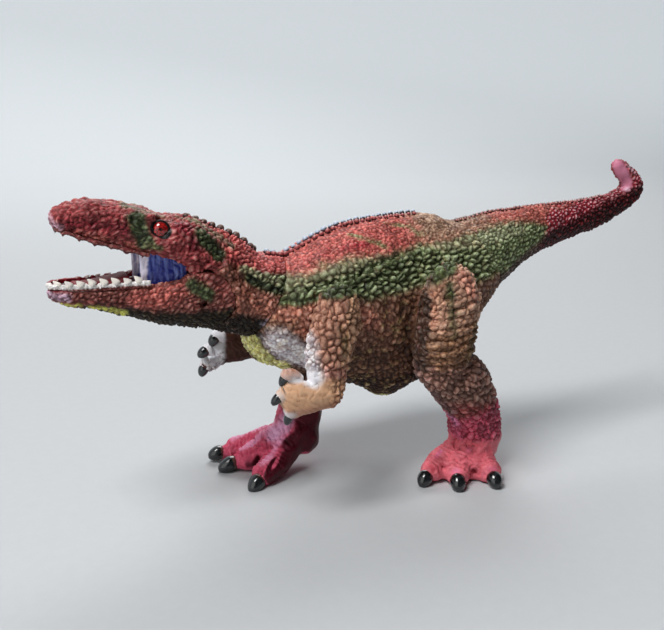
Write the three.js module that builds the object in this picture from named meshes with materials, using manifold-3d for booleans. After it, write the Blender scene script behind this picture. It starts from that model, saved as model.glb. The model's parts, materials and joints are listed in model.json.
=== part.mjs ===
// Toy dinosaur: a striding two-legged meat-eater in moulded soft vinyl, about 18 cm long.
// The hollow torso takes the plugs of the neck, the tail, both arms and both legs, which turn
// in it. The lower jaw turns on a pin below the cheeks. Head towards -X, left flank at -Y, +Z up.
import * as THREE from "three";
import Module from "manifold-3d";
import { mergeVertices } from "three/addons/utils/BufferGeometryUtils.js";

const wasm = await Module();
wasm.setup();

// Driving dimensions, in millimetres.
const hipHeight = 50; // the hip pegs' axis above the floor
const overrun = 3; // how far a cutter runs past what it cuts
const gap = 0.3; // clearance between two pieces that meet or turn on each other

const torso = { length: 66, depth: 52, width: 35, wall: 2.4, hipPlane: 15.2, shoulderPlane: 15.4 };
const neck = { seamRadius: 11.8, plugRadius: 6.6, flangeRadius: 8.2, flange: 1.6, length: 30, depth: 28, width: 23 };
const tail = { length: 63, seamRadius: 12, plugRadius: 6.2, flangeRadius: 8, flange: 1.6, width: 24, rise: 17 };
const skull = { length: 41, height: 18, width: 19, palate: 3, lip: 1.8 };
const jaw = { length: 36, depth: 15, width: 19.4, knuckle: 7.8, throat: 6, lip: 1.5, floor: 2.5 };
const jawBite = THREE.MathUtils.degToRad(13); // how far the jaw closes from its open rest
const jawPin = { radius: 0.8, length: 14, ear: 5.2, earRadius: 3.7, earWeb: 3 };
const lining = { halfWidth: 5.25, reach: 14.4, hollow: 4.2 };
const tongue = { length: 15.5, crown: 0.5, back: 2 };
const lowerTooth = { height: 1.7, radius: 0.95, strip: 0.9, rise: 1.5, seat: 0.7, pitch: 3.3 };
const upperTooth = { height: 1, radius: 0.8, strip: 0.9, rise: 1.1, seat: 0.8, pitch: 3.6 };
const eye = { radius: 2.3, proud: 0.75, seat: 1.3 };
const arm = { length: 26, thickness: 9.2, depth: 13.6, hub: 6, sweep: 9.2, pegRadius: 2.6, flangeRadius: 4.1, flange: 1.4 };
const finger = { radius: 1.65, nail: 2.1, nailRadius: 1.35 };
const thigh = { thickness: 11.6, depth: 20, hub: 8.6, sweep: 20, pegRadius: 3.8, flangeRadius: 5.6, flange: 1.6 };
const toe = { radius: 3.4, knuckle: 4.2, root: 5.8, web: 3.5, nail: 3.5, nailRadius: 2.3, sole: 0.35 };

const neckTilt = THREE.MathUtils.degToRad(28); // the seams lean from the vertical by these angles
const tailTilt = THREE.MathUtils.degToRad(30);
const rightArmLift = THREE.MathUtils.degToRad(8); // the right arm is the left one turned forward

// Where the turning pieces sit on the torso, as shares of its size, from the hip axis.
const neckSeatShare = { x: -0.727, z: 0.094 };
const tailSeatShare = { x: 0.265, z: 0.2 };
const shoulderShare = { x: -0.523, z: 0.02 };

// Number of flats round each kind of surface.
const SIDES = { body: 20, limb: 12, digit: 7, nail: 5, round: 18 };

// A closed body through rings of points, each ring a list of THREE.Vector3.
function skinOver(rings) {
  const sides = rings[0].length;
  const points = [];
  const faces = [];
  const centre = (ring) => ring.reduce((sum, p) => sum.add(p), new THREE.Vector3()).divideScalar(sides);
  rings.forEach((ring) => points.push(...ring));
  points.push(centre(rings[0]), centre(rings[rings.length - 1]));
  const first = rings.length * sides;
  for (let i = 0; i < sides; i++) {
    const next = (i + 1) % sides;
    for (let r = 0; r + 1 < rings.length; r++) {
      const a = r * sides;
      const b = a + sides;
      faces.push(a + i, a + next, b + next, a + i, b + next, b + i);
    }
    const last = (rings.length - 1) * sides;
    faces.push(first, next, i, first + 1, last + i, last + next);
  }
  const geometry = new THREE.BufferGeometry().setFromPoints(points);
  geometry.setIndex(faces);
  return geometry;
}

// A geometry as a solid that can be joined and cut, whichever way round its faces were made.
function solid(geometry) {
  const bare = geometry.clone();
  bare.deleteAttribute("normal");
  bare.deleteAttribute("uv");
  const merged = mergeVertices(bare, 1e-4);
  const triVerts = new Uint32Array(merged.index.array);
  const vertProperties = new Float32Array(merged.attributes.position.array);
  const make = () => new wasm.Manifold(new wasm.Mesh({ numProp: 3, vertProperties, triVerts }));
  const made = make();
  if (made.volume() > 0) return made;
  for (let i = 0; i < triVerts.length; i += 3) {
    [triVerts[i + 1], triVerts[i + 2]] = [triVerts[i + 2], triVerts[i + 1]];
  }
  return make();
}

// A solid back as a geometry.
function geometryOf(made) {
  const mesh = made.getMesh();
  const positions = new Float32Array(mesh.numVert * 3);
  for (let i = 0; i < mesh.numVert; i++) {
    positions.set(mesh.vertProperties.subarray(i * mesh.numProp, i * mesh.numProp + 3), i * 3);
  }
  const geometry = new THREE.BufferGeometry();
  geometry.setAttribute("position", new THREE.BufferAttribute(positions, 3));
  geometry.setIndex(new THREE.BufferAttribute(new Uint32Array(mesh.triVerts), 1));
  geometry.computeVertexNormals();
  return geometry;
}

const joined = (...parts) => parts.reduce((all, part) => all.add(part));
const cut = (from, ...tools) => tools.reduce((left, tool) => left.subtract(tool), from);

// Rows of numbers with further rows between them, on a smooth curve through all of them.
function refined(rows, steps) {
  const at = (i) => rows[THREE.MathUtils.clamp(i, 0, rows.length - 1)];
  const out = [];
  for (let i = 0; i + 1 < rows.length; i++) {
    for (let s = 0; s < steps; s++) {
      const t = s / steps;
      out.push(
        rows[i].map((_, k) => {
          const [a, b, c, d] = [at(i - 1)[k], at(i)[k], at(i + 1)[k], at(i + 2)[k]];
          return b + 0.5 * t * (c - a + t * (2 * a - 5 * b + 4 * c - d + t * (3 * (b - c) + d - a)));
        }),
      );
    }
  }
  out.push(rows[rows.length - 1]);
  return out;
}

// Ribs seen from the side: each row is [top x, top z, bottom x, bottom z, half width, crown],
// where crown 1 is half an ellipse, less is boxier and more is a sharper back. The lower half
// has the same bend in every rib.
function ribbed(rows, { steps = 1, sides = SIDES.body, under = 1 } = {}) {
  return skinOver(
    refined(rows, steps).map(([topX, topZ, bottomX, bottomZ, half, crown]) => {
      const ring = [];
      for (let i = 0; i < sides; i++) {
        const angle = (2 * Math.PI * i) / sides;
        const up = Math.cos(angle);
        const out = Math.sin(angle);
        const bend = up > 0 ? crown : under;
        const share = 0.5 + 0.5 * Math.sign(up) * Math.abs(up) ** Math.min(bend, 1);
        const spread = Math.sign(out) * Math.abs(out) ** bend;
        const x = THREE.MathUtils.lerp(bottomX, topX, share);
        const z = THREE.MathUtils.lerp(bottomZ, topZ, share);
        ring.push(new THREE.Vector3(x, half * spread, z));
      }
      return ring;
    }),
  );
}

// A muscle along a path: each row is [x, y, z, half thickness across, half depth].
function muscle(rows, sides = SIDES.limb) {
  const place = (row) => new THREE.Vector3(row[0], row[1], row[2]);
  return skinOver(
    rows.map((row, i) => {
      const ahead = place(rows[Math.min(i + 1, rows.length - 1)]);
      const along = ahead.sub(place(rows[Math.max(i - 1, 0)])).normalize();
      const across = new THREE.Vector3(0, 1, 0).addScaledVector(along, -along.y).normalize();
      const depth = new THREE.Vector3().crossVectors(along, across);
      return Array.from({ length: sides }, (_, k) => {
        const angle = (2 * Math.PI * k) / sides;
        return place(row)
          .addScaledVector(across, row[3] * Math.cos(angle))
          .addScaledVector(depth, row[4] * Math.sin(angle));
      });
    }),
  );
}

// A round bar between two points.
function bar(from, to, radius, sides = SIDES.round) {
  const span = new THREE.Vector3().subVectors(to, from);
  const geometry = new THREE.CylinderGeometry(radius, radius, span.length(), sides);
  const turn = new THREE.Quaternion().setFromUnitVectors(new THREE.Vector3(0, 1, 0), span.clone().normalize());
  geometry.applyQuaternion(turn);
  geometry.translate(...span.multiplyScalar(0.5).add(from).toArray());
  return solid(geometry);
}

// A box from its lowest to its highest corner.
function block(low, high) {
  const size = new THREE.Vector3().subVectors(high, low);
  const geometry = new THREE.BoxGeometry(...size.toArray());
  geometry.translate(...size.multiplyScalar(0.5).add(low).toArray());
  return solid(geometry);
}

const point = (x, y, z) => new THREE.Vector3(x, y, z);

// A pointed cone that stands on a point and leans along a direction.
function spike(foot, direction, length, radius, sides) {
  const geometry = new THREE.ConeGeometry(radius, length, sides);
  geometry.translate(0, length / 2, 0);
  geometry.applyQuaternion(new THREE.Quaternion().setFromUnitVectors(point(0, 1, 0), direction.clone().normalize()));
  geometry.translate(foot.x, foot.y, foot.z);
  return solid(geometry);
}

// Everything on the far side of a plane, as a large block: the plane faces along a direction.
function beyond(origin, direction, reach) {
  const geometry = new THREE.BoxGeometry(reach, reach, reach);
  geometry.translate(0, reach / 2, 0);
  geometry.applyQuaternion(new THREE.Quaternion().setFromUnitVectors(point(0, 1, 0), direction));
  geometry.translate(origin.x, origin.y, origin.z);
  return solid(geometry);
}

// The seats on the torso, in the torso's frame, whose origin is the middle of the hip axis.
const neckSeat = point(neckSeatShare.x * torso.length, 0, neckSeatShare.z * torso.depth);
const neckAxis = point(-Math.cos(neckTilt), 0, Math.sin(neckTilt));
const tailSeat = point(tailSeatShare.x * torso.length, 0, tailSeatShare.z * torso.depth);
const tailAxis = point(Math.cos(tailTilt), 0, Math.sin(tailTilt));
const shoulder = point(shoulderShare.x * torso.length, 0, shoulderShare.z * torso.depth);

// A rib that lies in a seam's plane as a circle, seen from the seam's centre or another origin.
function seamRib(centre, axis, radius) {
  const down = axis.x < 0 ? point(-axis.z, 0, axis.x) : point(axis.z, 0, -axis.x);
  const top = centre.clone().addScaledVector(down, -radius);
  const bottom = centre.clone().addScaledVector(down, radius);
  return [top.x, top.z, bottom.x, bottom.z, radius, 1];
}

// Torso ribs as shares of the torso's length, depth and half width, from the hip axis.
const torsoRibShares = [
  [-0.576, 0.331, -0.78, -0.231, 0.77, 1.05],
  [-0.485, 0.385, -0.644, -0.308, 0.87, 1.12],
  [-0.379, 0.431, -0.477, -0.385, 0.93, 1.18],
  [-0.258, 0.45, -0.333, -0.45, 0.91, 1.2],
  [-0.136, 0.462, -0.189, -0.53, 0.87, 1.2],
  [-0.015, 0.465, -0.045, -0.48, 0.86, 1.18],
  [0.068, 0.44, 0.121, -0.308, 0.84, 1.1],
  [0.129, 0.41, 0.265, -0.135, 0.77, 1.04],
];

function torsoRibs(inset) {
  const middle = torsoRibShares.map(([topX, topZ, bottomX, bottomZ, half, crown]) => [
    topX * torso.length,
    topZ * torso.depth - inset,
    bottomX * torso.length,
    bottomZ * torso.depth + inset,
    (half * torso.width) / 2 - inset,
    crown,
  ]);
  const front = seamRib(neckSeat, neckAxis, neck.seamRadius - inset);
  const rear = seamRib(tailSeat, tailAxis, tail.seamRadius - inset);
  return [front, ...middle, rear];
}

// The plane face, bore and inner seat that a limb's peg needs in the torso's flank.
function limbSeat(centre, plane, side, peg) {
  const at = (y) => point(centre.x, side * y, centre.z);
  const inner = plane - torso.wall;
  const face = bar(at(plane), at(torso.width), peg.sweep);
  const bore = bar(at(inner - overrun), at(plane + overrun), peg.pegRadius + gap);
  const seat = bar(at(inner - overrun), at(inner), peg.flangeRadius + 2 * gap);
  return [face, bore, seat];
}

function torsoShell() {
  const outer = solid(ribbed(torsoRibs(0), { steps: 2 }));
  const frontWall = neckSeat.clone().addScaledVector(neckAxis, -torso.wall);
  const rearWall = tailSeat.clone().addScaledVector(tailAxis, -torso.wall);
  const cavity = cut(
    solid(ribbed(torsoRibs(torso.wall), { sides: SIDES.limb })),
    beyond(frontWall, neckAxis, torso.length),
    beyond(rearWall, tailAxis, torso.length),
  );
  const through = (seat, axis, radius) =>
    bar(
      seat.clone().addScaledVector(axis, -torso.wall - overrun),
      seat.clone().addScaledVector(axis, overrun),
      radius + gap,
    );
  const seats = [-1, 1].flatMap((side) => [
    ...limbSeat(shoulder, torso.shoulderPlane, side, arm),
    ...limbSeat(point(0, 0, 0), torso.hipPlane, side, thigh),
  ]);
  return cut(
    outer,
    cavity,
    through(neckSeat, neckAxis, neck.plugRadius),
    through(tailSeat, tailAxis, tail.plugRadius),
    ...seats,
  );
}

// A stub that passes the torso's end wall and holds behind it with a flange.
function endPlug(axis, { plugRadius, flangeRadius, flange }) {
  const behind = (distance) => axis.clone().multiplyScalar(-distance);
  const shaft = bar(behind(-overrun), behind(torso.wall + gap + flange), plugRadius);
  const lip = bar(behind(torso.wall + gap), behind(torso.wall + gap + flange), flangeRadius);
  return joined(shaft, lip);
}

// The same for a limb: the peg runs inwards from the limb's flat face.
function limbPeg(side, plane, hubEdge, hubRadius, { pegRadius, flangeRadius, flange }) {
  const at = (y) => point(0, side * y, 0);
  const inner = plane - torso.wall - gap;
  return joined(
    bar(at(plane + gap), at(hubEdge), hubRadius),
    bar(at(inner - flange), at(plane + overrun), pegRadius),
    bar(at(inner - flange), at(inner), flangeRadius),
  );
}

// Neck and skull, in the neck's frame, whose origin is the middle of the neck seam.
const hinge = point(-0.617 * neck.length, 0, 0.065 * neck.depth);

const neckRibShares = [
  [-0.05, 0.42, -0.3, -0.32, 0.98, 1],
  [-0.217, 0.575, -0.433, -0.282, 0.94, 1.05],
  [-0.4, 0.679, -0.567, -0.236, 0.91, 1.05],
  [-0.6, 0.775, -0.733, -0.196, 0.89, 1],
  [-0.7, 0.74, -0.78, -0.04, 0.76, 1],
  [-0.78, 0.68, -0.81, 0.14, 0.4, 1],
];

// Skull ribs as shares of the skull's length, height and half width, from the jaw hinge.
const skullRibShares = [
  [0.2, 0.84, 0.2, 0.14, 0.8, 1],
  [0.024, 1.09, 0.024, 0.34, 1.02, 0.95],
  [-0.085, 1.165, -0.073, 0.455, 1.01, 0.88],
  [-0.207, 1.2, -0.19, 0.583, 0.95, 0.8],
  [-0.317, 1.31, -0.3, 0.683, 0.8, 0.78],
  [-0.427, 1.385, -0.402, 0.75, 0.69, 0.8],
  [-0.537, 1.42, -0.512, 0.833, 0.62, 0.82],
  [-0.646, 1.437, -0.629, 0.922, 0.56, 0.85],
  [-0.739, 1.405, -0.727, 1.01, 0.48, 0.88],
  [-0.793, 1.335, -0.788, 1.05, 0.36, 0.92],
  [-0.829, 1.245, -0.829, 1.13, 0.14, 1],
];
const lipBend = 0.5; // how boxy the jaws' sections are along the lips

function skullRibs(change) {
  return skullRibShares.map(([topX, topZ, bottomX, bottomZ, half, crown]) =>
    change([
      hinge.x + topX * skull.length,
      hinge.z + topZ * skull.height,
      hinge.x + bottomX * skull.length,
      hinge.z + bottomZ * skull.height,
      (half * skull.width) / 2,
      crown,
    ]),
  );
}

const skullSolid = () => solid(ribbed(skullRibs((row) => row), { under: lipBend }));

// What lies below the upper lip, in front of the corners of the mouth.
function underLip() {
  const rows = skullRibs(([, , bottomX, bottomZ]) => [
    bottomX,
    bottomZ - gap,
    bottomX,
    hinge.z - jaw.depth,
    jaw.width,
    0.3,
  ]);
  const last = rows[rows.length - 1];
  return solid(ribbed([...rows.slice(1), [last[0] - skull.lip, last[1], last[2] - skull.lip, last[3], last[4], last[5]]], { under: 0.3 }));
}

// The hollow above the palate: it follows the lip line at a set depth, inside the lips.
function palateHollow() {
  const inside = skullRibs(([, , bottomX, bottomZ, half]) => [
    bottomX,
    bottomZ + skull.palate,
    bottomX,
    bottomZ - overrun,
    Math.max(half - skull.lip, skull.lip / 2),
    0.55,
  ]);
  return solid(ribbed(inside.slice(2, -2), { sides: SIDES.limb }));
}

const eyeSeatShare = { x: -0.232, y: 0.79, z: 1.058 };
const eyeCentre = (side) =>
  point(
    hinge.x + eyeSeatShare.x * skull.length,
    side * (eyeSeatShare.y * (skull.width / 2) - eye.radius + eye.proud),
    hinge.z + eyeSeatShare.z * skull.height,
  );

function eyeball(side, extra) {
  const ball = new THREE.SphereGeometry(eye.radius + extra, SIDES.limb, SIDES.digit);
  ball.translate(...eyeCentre(side).toArray());
  const inner = eyeCentre(side).y - side * (eye.seat - eye.radius + extra);
  const back = beyond(point(0, inner, 0), point(0, -side, 0), skull.length);
  return cut(solid(ball), back.translate([hinge.x, 0, hinge.z]));
}

function knuckleBar(radius, half) {
  return bar(point(hinge.x, -half, hinge.z), point(hinge.x, half, hinge.z), radius);
}

function neckBody() {
  const rows = neckRibShares.map(([topX, topZ, bottomX, bottomZ, half, crown]) => [
    topX * neck.length,
    topZ * neck.depth,
    bottomX * neck.length,
    bottomZ * neck.depth,
    (half * neck.width) / 2,
    crown,
  ]);
  const first = seamRib(neckAxis.clone().multiplyScalar(gap), neckAxis, neck.seamRadius);
  return solid(ribbed([first, ...rows]));
}

function headAndNeck() {
  const ear = joined(
    knuckleBar(jawPin.earRadius, jawPin.ear / 2),
    block(
      point(hinge.x, -jawPin.ear / 2, hinge.z - jawPin.earWeb / 2),
      point(hinge.x + jaw.knuckle + overrun, jawPin.ear / 2, hinge.z + jawPin.earWeb / 2),
    ),
  );
  const below = block(
    point(hinge.x - jaw.length, -jaw.width, hinge.z - jaw.depth),
    point(hinge.x, jaw.width, hinge.z),
  );
  const shaped = cut(
    joined(neckBody(), skullSolid()),
    knuckleBar(jaw.knuckle + gap, jaw.width),
    below,
    underLip(),
    palateHollow(),
    upperTeeth(gap),
    eyeball(-1, gap),
    eyeball(1, gap),
  );
  return cut(joined(shaped, ear, endPlug(neckAxis, neck)), knuckleBar(jawPin.radius + gap, jaw.width));
}

// Jaw ribs as shares of the jaw's length, depth and half width, from the hinge.
const jawRibShares = [
  [-0.992, 0.3, -0.986, 0.2, 0.1, 1],
  [-0.967, 0.4, -0.947, 0.13, 0.29, 0.6],
  [-0.9, 0.413, -0.88, 0.053, 0.43, lipBend],
  [-0.764, 0.367, -0.736, -0.007, 0.53, lipBend],
  [-0.625, 0.36, -0.597, -0.113, 0.6, lipBend],
  [-0.486, 0.367, -0.458, -0.233, 0.68, lipBend],
  [-0.347, 0.387, -0.333, -0.34, 0.79, 0.55],
  [-0.208, 0.433, -0.208, -0.433, 0.9, 0.65],
  [-0.069, 0.48, -0.097, -0.487, 0.98, 0.8],
  [0.03, 0.42, 0.03, -0.44, 0.9, 1],
];

function jawRibs(change) {
  return jawRibShares.map(([topX, topZ, bottomX, bottomZ, half, crown]) =>
    change([
      topX * jaw.length,
      topZ * jaw.depth,
      bottomX * jaw.length,
      bottomZ * jaw.depth,
      (half * jaw.width) / 2,
      crown,
    ]),
  );
}

const channelHalf = (half) => Math.max(half - jaw.lip, jaw.lip / 2);

// The mouth's floor channel: deeper towards the throat, and round the hinge at its back end.
function mouthChannel() {
  const wide = lining.halfWidth + 2 * gap;
  const inside = jawRibs(([topX, topZ, bottomX, bottomZ, half]) => [
    topX,
    topZ + overrun,
    topX,
    bottomZ + jaw.floor,
    Math.min(channelHalf(half), wide),
    0.5,
  ]);
  const floor = solid(ribbed(inside.slice(2, -2), { sides: SIDES.limb, under: lipBend }));
  const round = (radius) => bar(point(0, -wide, 0), point(0, wide, 0), radius);
  const sector = block(point(-jaw.length, -jaw.width, 0), point(0, jaw.width, jaw.length));
  const throat = cut(round(jaw.knuckle + overrun).intersect(sector), round(jaw.throat));
  return joined(floor, throat);
}

// The lower jaw in its own frame, whose origin is the middle of the hinge pin.
function lowerJaw() {
  const half = jaw.width / 2;
  const barrel = bar(point(0, -half, 0), point(0, half, 0), jaw.knuckle);
  const cheeks = neckBody().translate([-hinge.x, 0, -hinge.z]);
  const blank = joined(solid(ribbed(jawRibs((row) => row))), barrel.intersect(cheeks));
  const slotHalf = jawPin.ear / 2 + gap;
  const slot = joined(
    bar(point(0, -slotHalf, 0), point(0, slotHalf, 0), jawPin.earRadius + gap),
    block(
      point(0, -slotHalf, -jawPin.earRadius - gap),
      point(jaw.knuckle + overrun, slotHalf, jawPin.earRadius + gap),
    ),
  );
  const pinHole = bar(point(0, -jaw.width, 0), point(0, jaw.width, 0), jawPin.radius + gap);
  return cut(blank, mouthChannel(), lowerTeeth(gap), slot, pinHole);
}

// The blue cheek lining between the jaws: fixed in the palate, and hollowed in front.
function mouthLining() {
  const half = lining.halfWidth;
  const front = hinge.x - lining.reach;
  const rows = skullRibs(([, , bottomX, bottomZ]) => [
    bottomX,
    bottomZ + skull.palate - gap,
    bottomX,
    hinge.z + jaw.depth * 0.12,
    half,
    lipBend,
  ]).slice(2, 6);
  const wedge = block(
    point(front - overrun, -half, hinge.z + jaw.depth * 0.36),
    point(hinge.x, half, hinge.z + skull.height),
  );
  const room = joined(palateHollow().translate([0, 0, -gap]), mouthChannel().translate([hinge.x, 0, hinge.z + gap]), wedge);
  return cut(
    solid(ribbed(rows, { sides: SIDES.limb, under: lipBend })).intersect(room),
    block(
      point(front - jaw.length, -jaw.width, hinge.z - jaw.depth),
      point(front, jaw.width, hinge.z + 2 * skull.height),
    ),
    bar(point(front, 0, hinge.z - jaw.depth), point(front, 0, hinge.z + 2 * skull.height), lining.hollow),
    knuckleBar(jaw.throat + gap, jaw.width),
  );
}

// The tongue fills the floor channel in front of the lining and swells a little to the back.
function tongueBody() {
  const filling = jawRibs(([topX, topZ, bottomX, bottomZ, half]) => {
    const back = THREE.MathUtils.clamp(1 + (topX + lining.reach) / tongue.length, 0, 1);
    return [
      topX,
      topZ + tongue.crown + back * tongue.back,
      topX,
      bottomZ + jaw.floor + gap,
      Math.min(channelHalf(half), lining.halfWidth + 2 * gap) - 2 * gap,
      0.6,
    ];
  });
  const body = solid(ribbed(filling.slice(2, 8), { sides: SIDES.limb, under: lipBend }));
  const tip = -lining.reach - tongue.length;
  const behind = block(
    point(-lining.reach - gap, -jaw.width, -jaw.depth),
    point(jaw.length, jaw.width, jaw.depth),
  );
  return cut(
    body.intersect(mouthChannel().translate([0, 0, gap])),
    behind,
    behind.rotate([0, -THREE.MathUtils.radToDeg(jawBite), 0]),
    block(point(-2 * jaw.length, -jaw.width, -jaw.depth), point(tip, jaw.width, jaw.depth)),
  );
}

// The line of a row of teeth: from the back of one side, round the front, to the other side.
function rimCurve(lipPoints, inset, least) {
  const side = lipPoints
    .map(([x, z, half]) => point(x, -Math.max(half - inset, least), z))
    .sort((a, b) => b.x - a.x);
  const mirrored = side.map((p) => point(p.x, -p.y, p.z)).reverse();
  return new THREE.CatmullRomCurve3([...side, ...mirrored], false, "centripetal");
}

// One strip of teeth: a gum band on edge, partly sunk in the lip, with a tooth at every pitch,
// pointing up or down. Grown by a clearance it is the groove that the band sits in.
function toothRow(lipPoints, inset, way, { height, radius, strip, rise, seat, pitch }, extra) {
  const curve = rimCurve(lipPoints, inset, radius);
  const teeth = Math.floor(curve.getLength() / pitch);
  const middle = way * (rise / 2 - seat);
  const rings = Array.from({ length: teeth + 1 }, (_, i) => {
    const at = curve.getPointAt(i / teeth);
    at.z += middle;
    const along = curve.getTangentAt(i / teeth).setZ(0).normalize();
    const across = point(-along.y, along.x, 0).multiplyScalar(strip / 2 + extra);
    const up = point(0, 0, rise / 2 + extra);
    const end = along.multiplyScalar(extra * Math.sign(i === 0 ? -1 : i === teeth ? 1 : 0));
    at.add(end);
    return [
      at.clone().sub(across).sub(up),
      at.clone().add(across).sub(up),
      at.clone().add(across).add(up),
      at.clone().sub(across).add(up),
    ];
  });
  const band = solid(skinOver(rings));
  if (extra > 0) return band;
  const row = Array.from({ length: teeth }, (_, i) => {
    const foot = curve.getPointAt((i + 0.5) / teeth);
    return spike(foot, point(0, 0, way), height + rise - seat, radius, SIDES.nail);
  });
  return joined(band, ...row);
}

function lowerTeeth(extra) {
  const lip = jawRibs(([topX, topZ, , , half]) => [topX, topZ, half]).slice(1, 7);
  return toothRow(lip, jaw.lip / 2, 1, lowerTooth, extra);
}

function upperTeeth(extra) {
  const lip = skullRibs(([, , bottomX, bottomZ, half]) => [bottomX, bottomZ, half]).slice(4, 10);
  return toothRow(lip, skull.lip / 2, -1, upperTooth, extra);
}

// Tail ribs as shares of the tail's length, rise and half width, from the tail seam's centre.
const tailRibShares = [
  [-0.008, 0.66, 0.151, -0.47, 0.9, 1.02],
  [0.087, 0.73, 0.222, -0.27, 0.77, 1.04],
  [0.198, 0.747, 0.302, -0.124, 0.65, 1.04],
  [0.325, 0.776, 0.397, -0.006, 0.55, 1.04],
  [0.452, 0.788, 0.508, 0.1, 0.475, 1.04],
  [0.579, 0.8, 0.627, 0.212, 0.417, 1.02],
  [0.698, 0.841, 0.754, 0.341, 0.367, 1],
  [0.794, 0.888, 0.849, 0.482, 0.325, 1],
  [0.849, 0.953, 0.929, 0.641, 0.3, 1],
  [0.876, 1.012, 0.979, 0.8, 0.283, 1],
  [0.879, 1.071, 1, 1.024, 0.267, 1],
  [0.865, 1.129, 0.976, 1.224, 0.25, 1],
  [0.833, 1.235, 0.921, 1.365, 0.225, 1],
  [0.805, 1.376, 0.862, 1.494, 0.167, 1],
  [0.813, 1.5, 0.822, 1.52, 0.05, 1],
];

function tailBody() {
  const rows = tailRibShares.map(([topX, topZ, bottomX, bottomZ, half, crown]) => [
    topX * tail.length,
    topZ * tail.rise,
    bottomX * tail.length,
    bottomZ * tail.rise,
    (half * tail.width) / 2,
    crown,
  ]);
  const first = seamRib(tailAxis.clone().multiplyScalar(gap), tailAxis, tail.seamRadius);
  return joined(solid(ribbed([first, ...rows])), endPlug(tailAxis, tail));
}

// Arm paths as shares: [along x and up z of the arm's length, out of its thickness, half sizes].
const upperArmShares = [
  [0.03, 0.24, 0.33, 0.2, 0.2],
  [0.01, 0.28, 0.23, 0.42, 0.37],
  [-0.02, 0.34, 0, 0.57, 0.5],
  [-0.1, 0.42, -0.23, 0.57, 0.47],
  [-0.17, 0.55, -0.42, 0.5, 0.41],
  [-0.18, 0.64, -0.58, 0.44, 0.37],
  [-0.16, 0.68, -0.71, 0.32, 0.27],
  [-0.15, 0.7, -0.77, 0.12, 0.1],
];
const forearmShares = [
  [-0.07, 0.72, -0.66, 0.12, 0.1],
  [-0.12, 0.73, -0.67, 0.32, 0.26],
  [-0.24, 0.74, -0.69, 0.36, 0.28],
  [-0.37, 0.7, -0.7, 0.34, 0.31],
  [-0.51, 0.64, -0.69, 0.3, 0.38],
  [-0.6, 0.6, -0.68, 0.24, 0.34],
  [-0.645, 0.58, -0.68, 0.1, 0.15],
];
// Fingers, as shares like those above: where each leaves the palm, its end, and its nail's way.
const leftFingerShares = [
  { foot: [-0.47, 0.56, -0.51], tip: [-0.585, 0.56, -0.45], nail: [-0.55, 0.05, -0.8] },
  { foot: [-0.5, 0.6, -0.66], tip: [-0.645, 0.6, -0.645], nail: [-0.85, 0.05, -0.5] },
  { foot: [-0.45, 0.64, -0.77], tip: [-0.56, 0.64, -0.83], nail: [-0.5, 0.05, -0.88] },
];
const rightFingerShares = [
  { foot: [-0.54, 0.48, -0.56], tip: [-0.71, 0.48, -0.56], nail: [-0.65, 0.05, -0.75] },
  { foot: [-0.6, 0.56, -0.72], tip: [-0.79, 0.56, -0.73], nail: [-0.9, 0.05, -0.4] },
  { foot: [-0.56, 0.64, -0.83], tip: [-0.78, 0.66, -0.92], nail: [-0.55, 0.05, -0.85] },
];

// A blunt claw: a bar that leaves a finger's or toe's end, tapers and bends down a little.
function nail(from, way, length, radius) {
  const direction = way.clone().normalize();
  const down = point(0, 0, -radius * 0.35);
  const row = (share, half) => {
    const p = from.clone().addScaledVector(direction, share * length).addScaledVector(down, share * share);
    return [p.x, p.y, p.z, half * radius, half * radius];
  };
  return solid(muscle([row(0, 0.8), row(0.3, 1), row(0.72, 0.82), row(1, 0.3)], SIDES.digit));
}

// A finger from the palm to its rounded end, with its claw.
function fingerBody(foot, tip, way) {
  const step = new THREE.Vector3().subVectors(tip, foot);
  const row = (share, half) => {
    const p = foot.clone().addScaledVector(step, share);
    return [p.x, p.y, p.z, half * finger.radius, half * finger.radius];
  };
  const flesh = muscle([row(-0.3, 0.8), row(0.1, 1), row(0.9, 1), row(1.3, 0.6)], SIDES.digit);
  return joined(solid(flesh), nail(tip, way, finger.radius / 2 + finger.nail, finger.nailRadius));
}

// An arm in the shoulder's frame. Side -1 is the left arm.
function armBody(side, fingerShares) {
  const place = ([x, out, z]) => [x * arm.length, side * (torso.shoulderPlane + out * arm.thickness), z * arm.length];
  const path = (shares) =>
    shares.map(([x, out, z, across, depth]) => [
      ...place([x, out, z]),
      across * arm.thickness,
      depth * arm.depth,
    ]);
  const fingers = fingerShares.map(({ foot, tip, nail: way }) =>
    fingerBody(point(...place(foot)), point(...place(tip)), point(way[0], side * -way[1], way[2])),
  );
  const flesh = joined(
    solid(muscle(path(upperArmShares))),
    solid(muscle(path(forearmShares))),
    ...fingers,
  );
  const face = beyond(point(0, side * (torso.shoulderPlane + gap), 0), point(0, -side, 0), arm.length * 4);
  const hubEdge = torso.shoulderPlane + arm.thickness * 0.4;
  return joined(cut(flesh, face), limbPeg(side, torso.shoulderPlane, hubEdge, arm.hub, arm));
}

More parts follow.
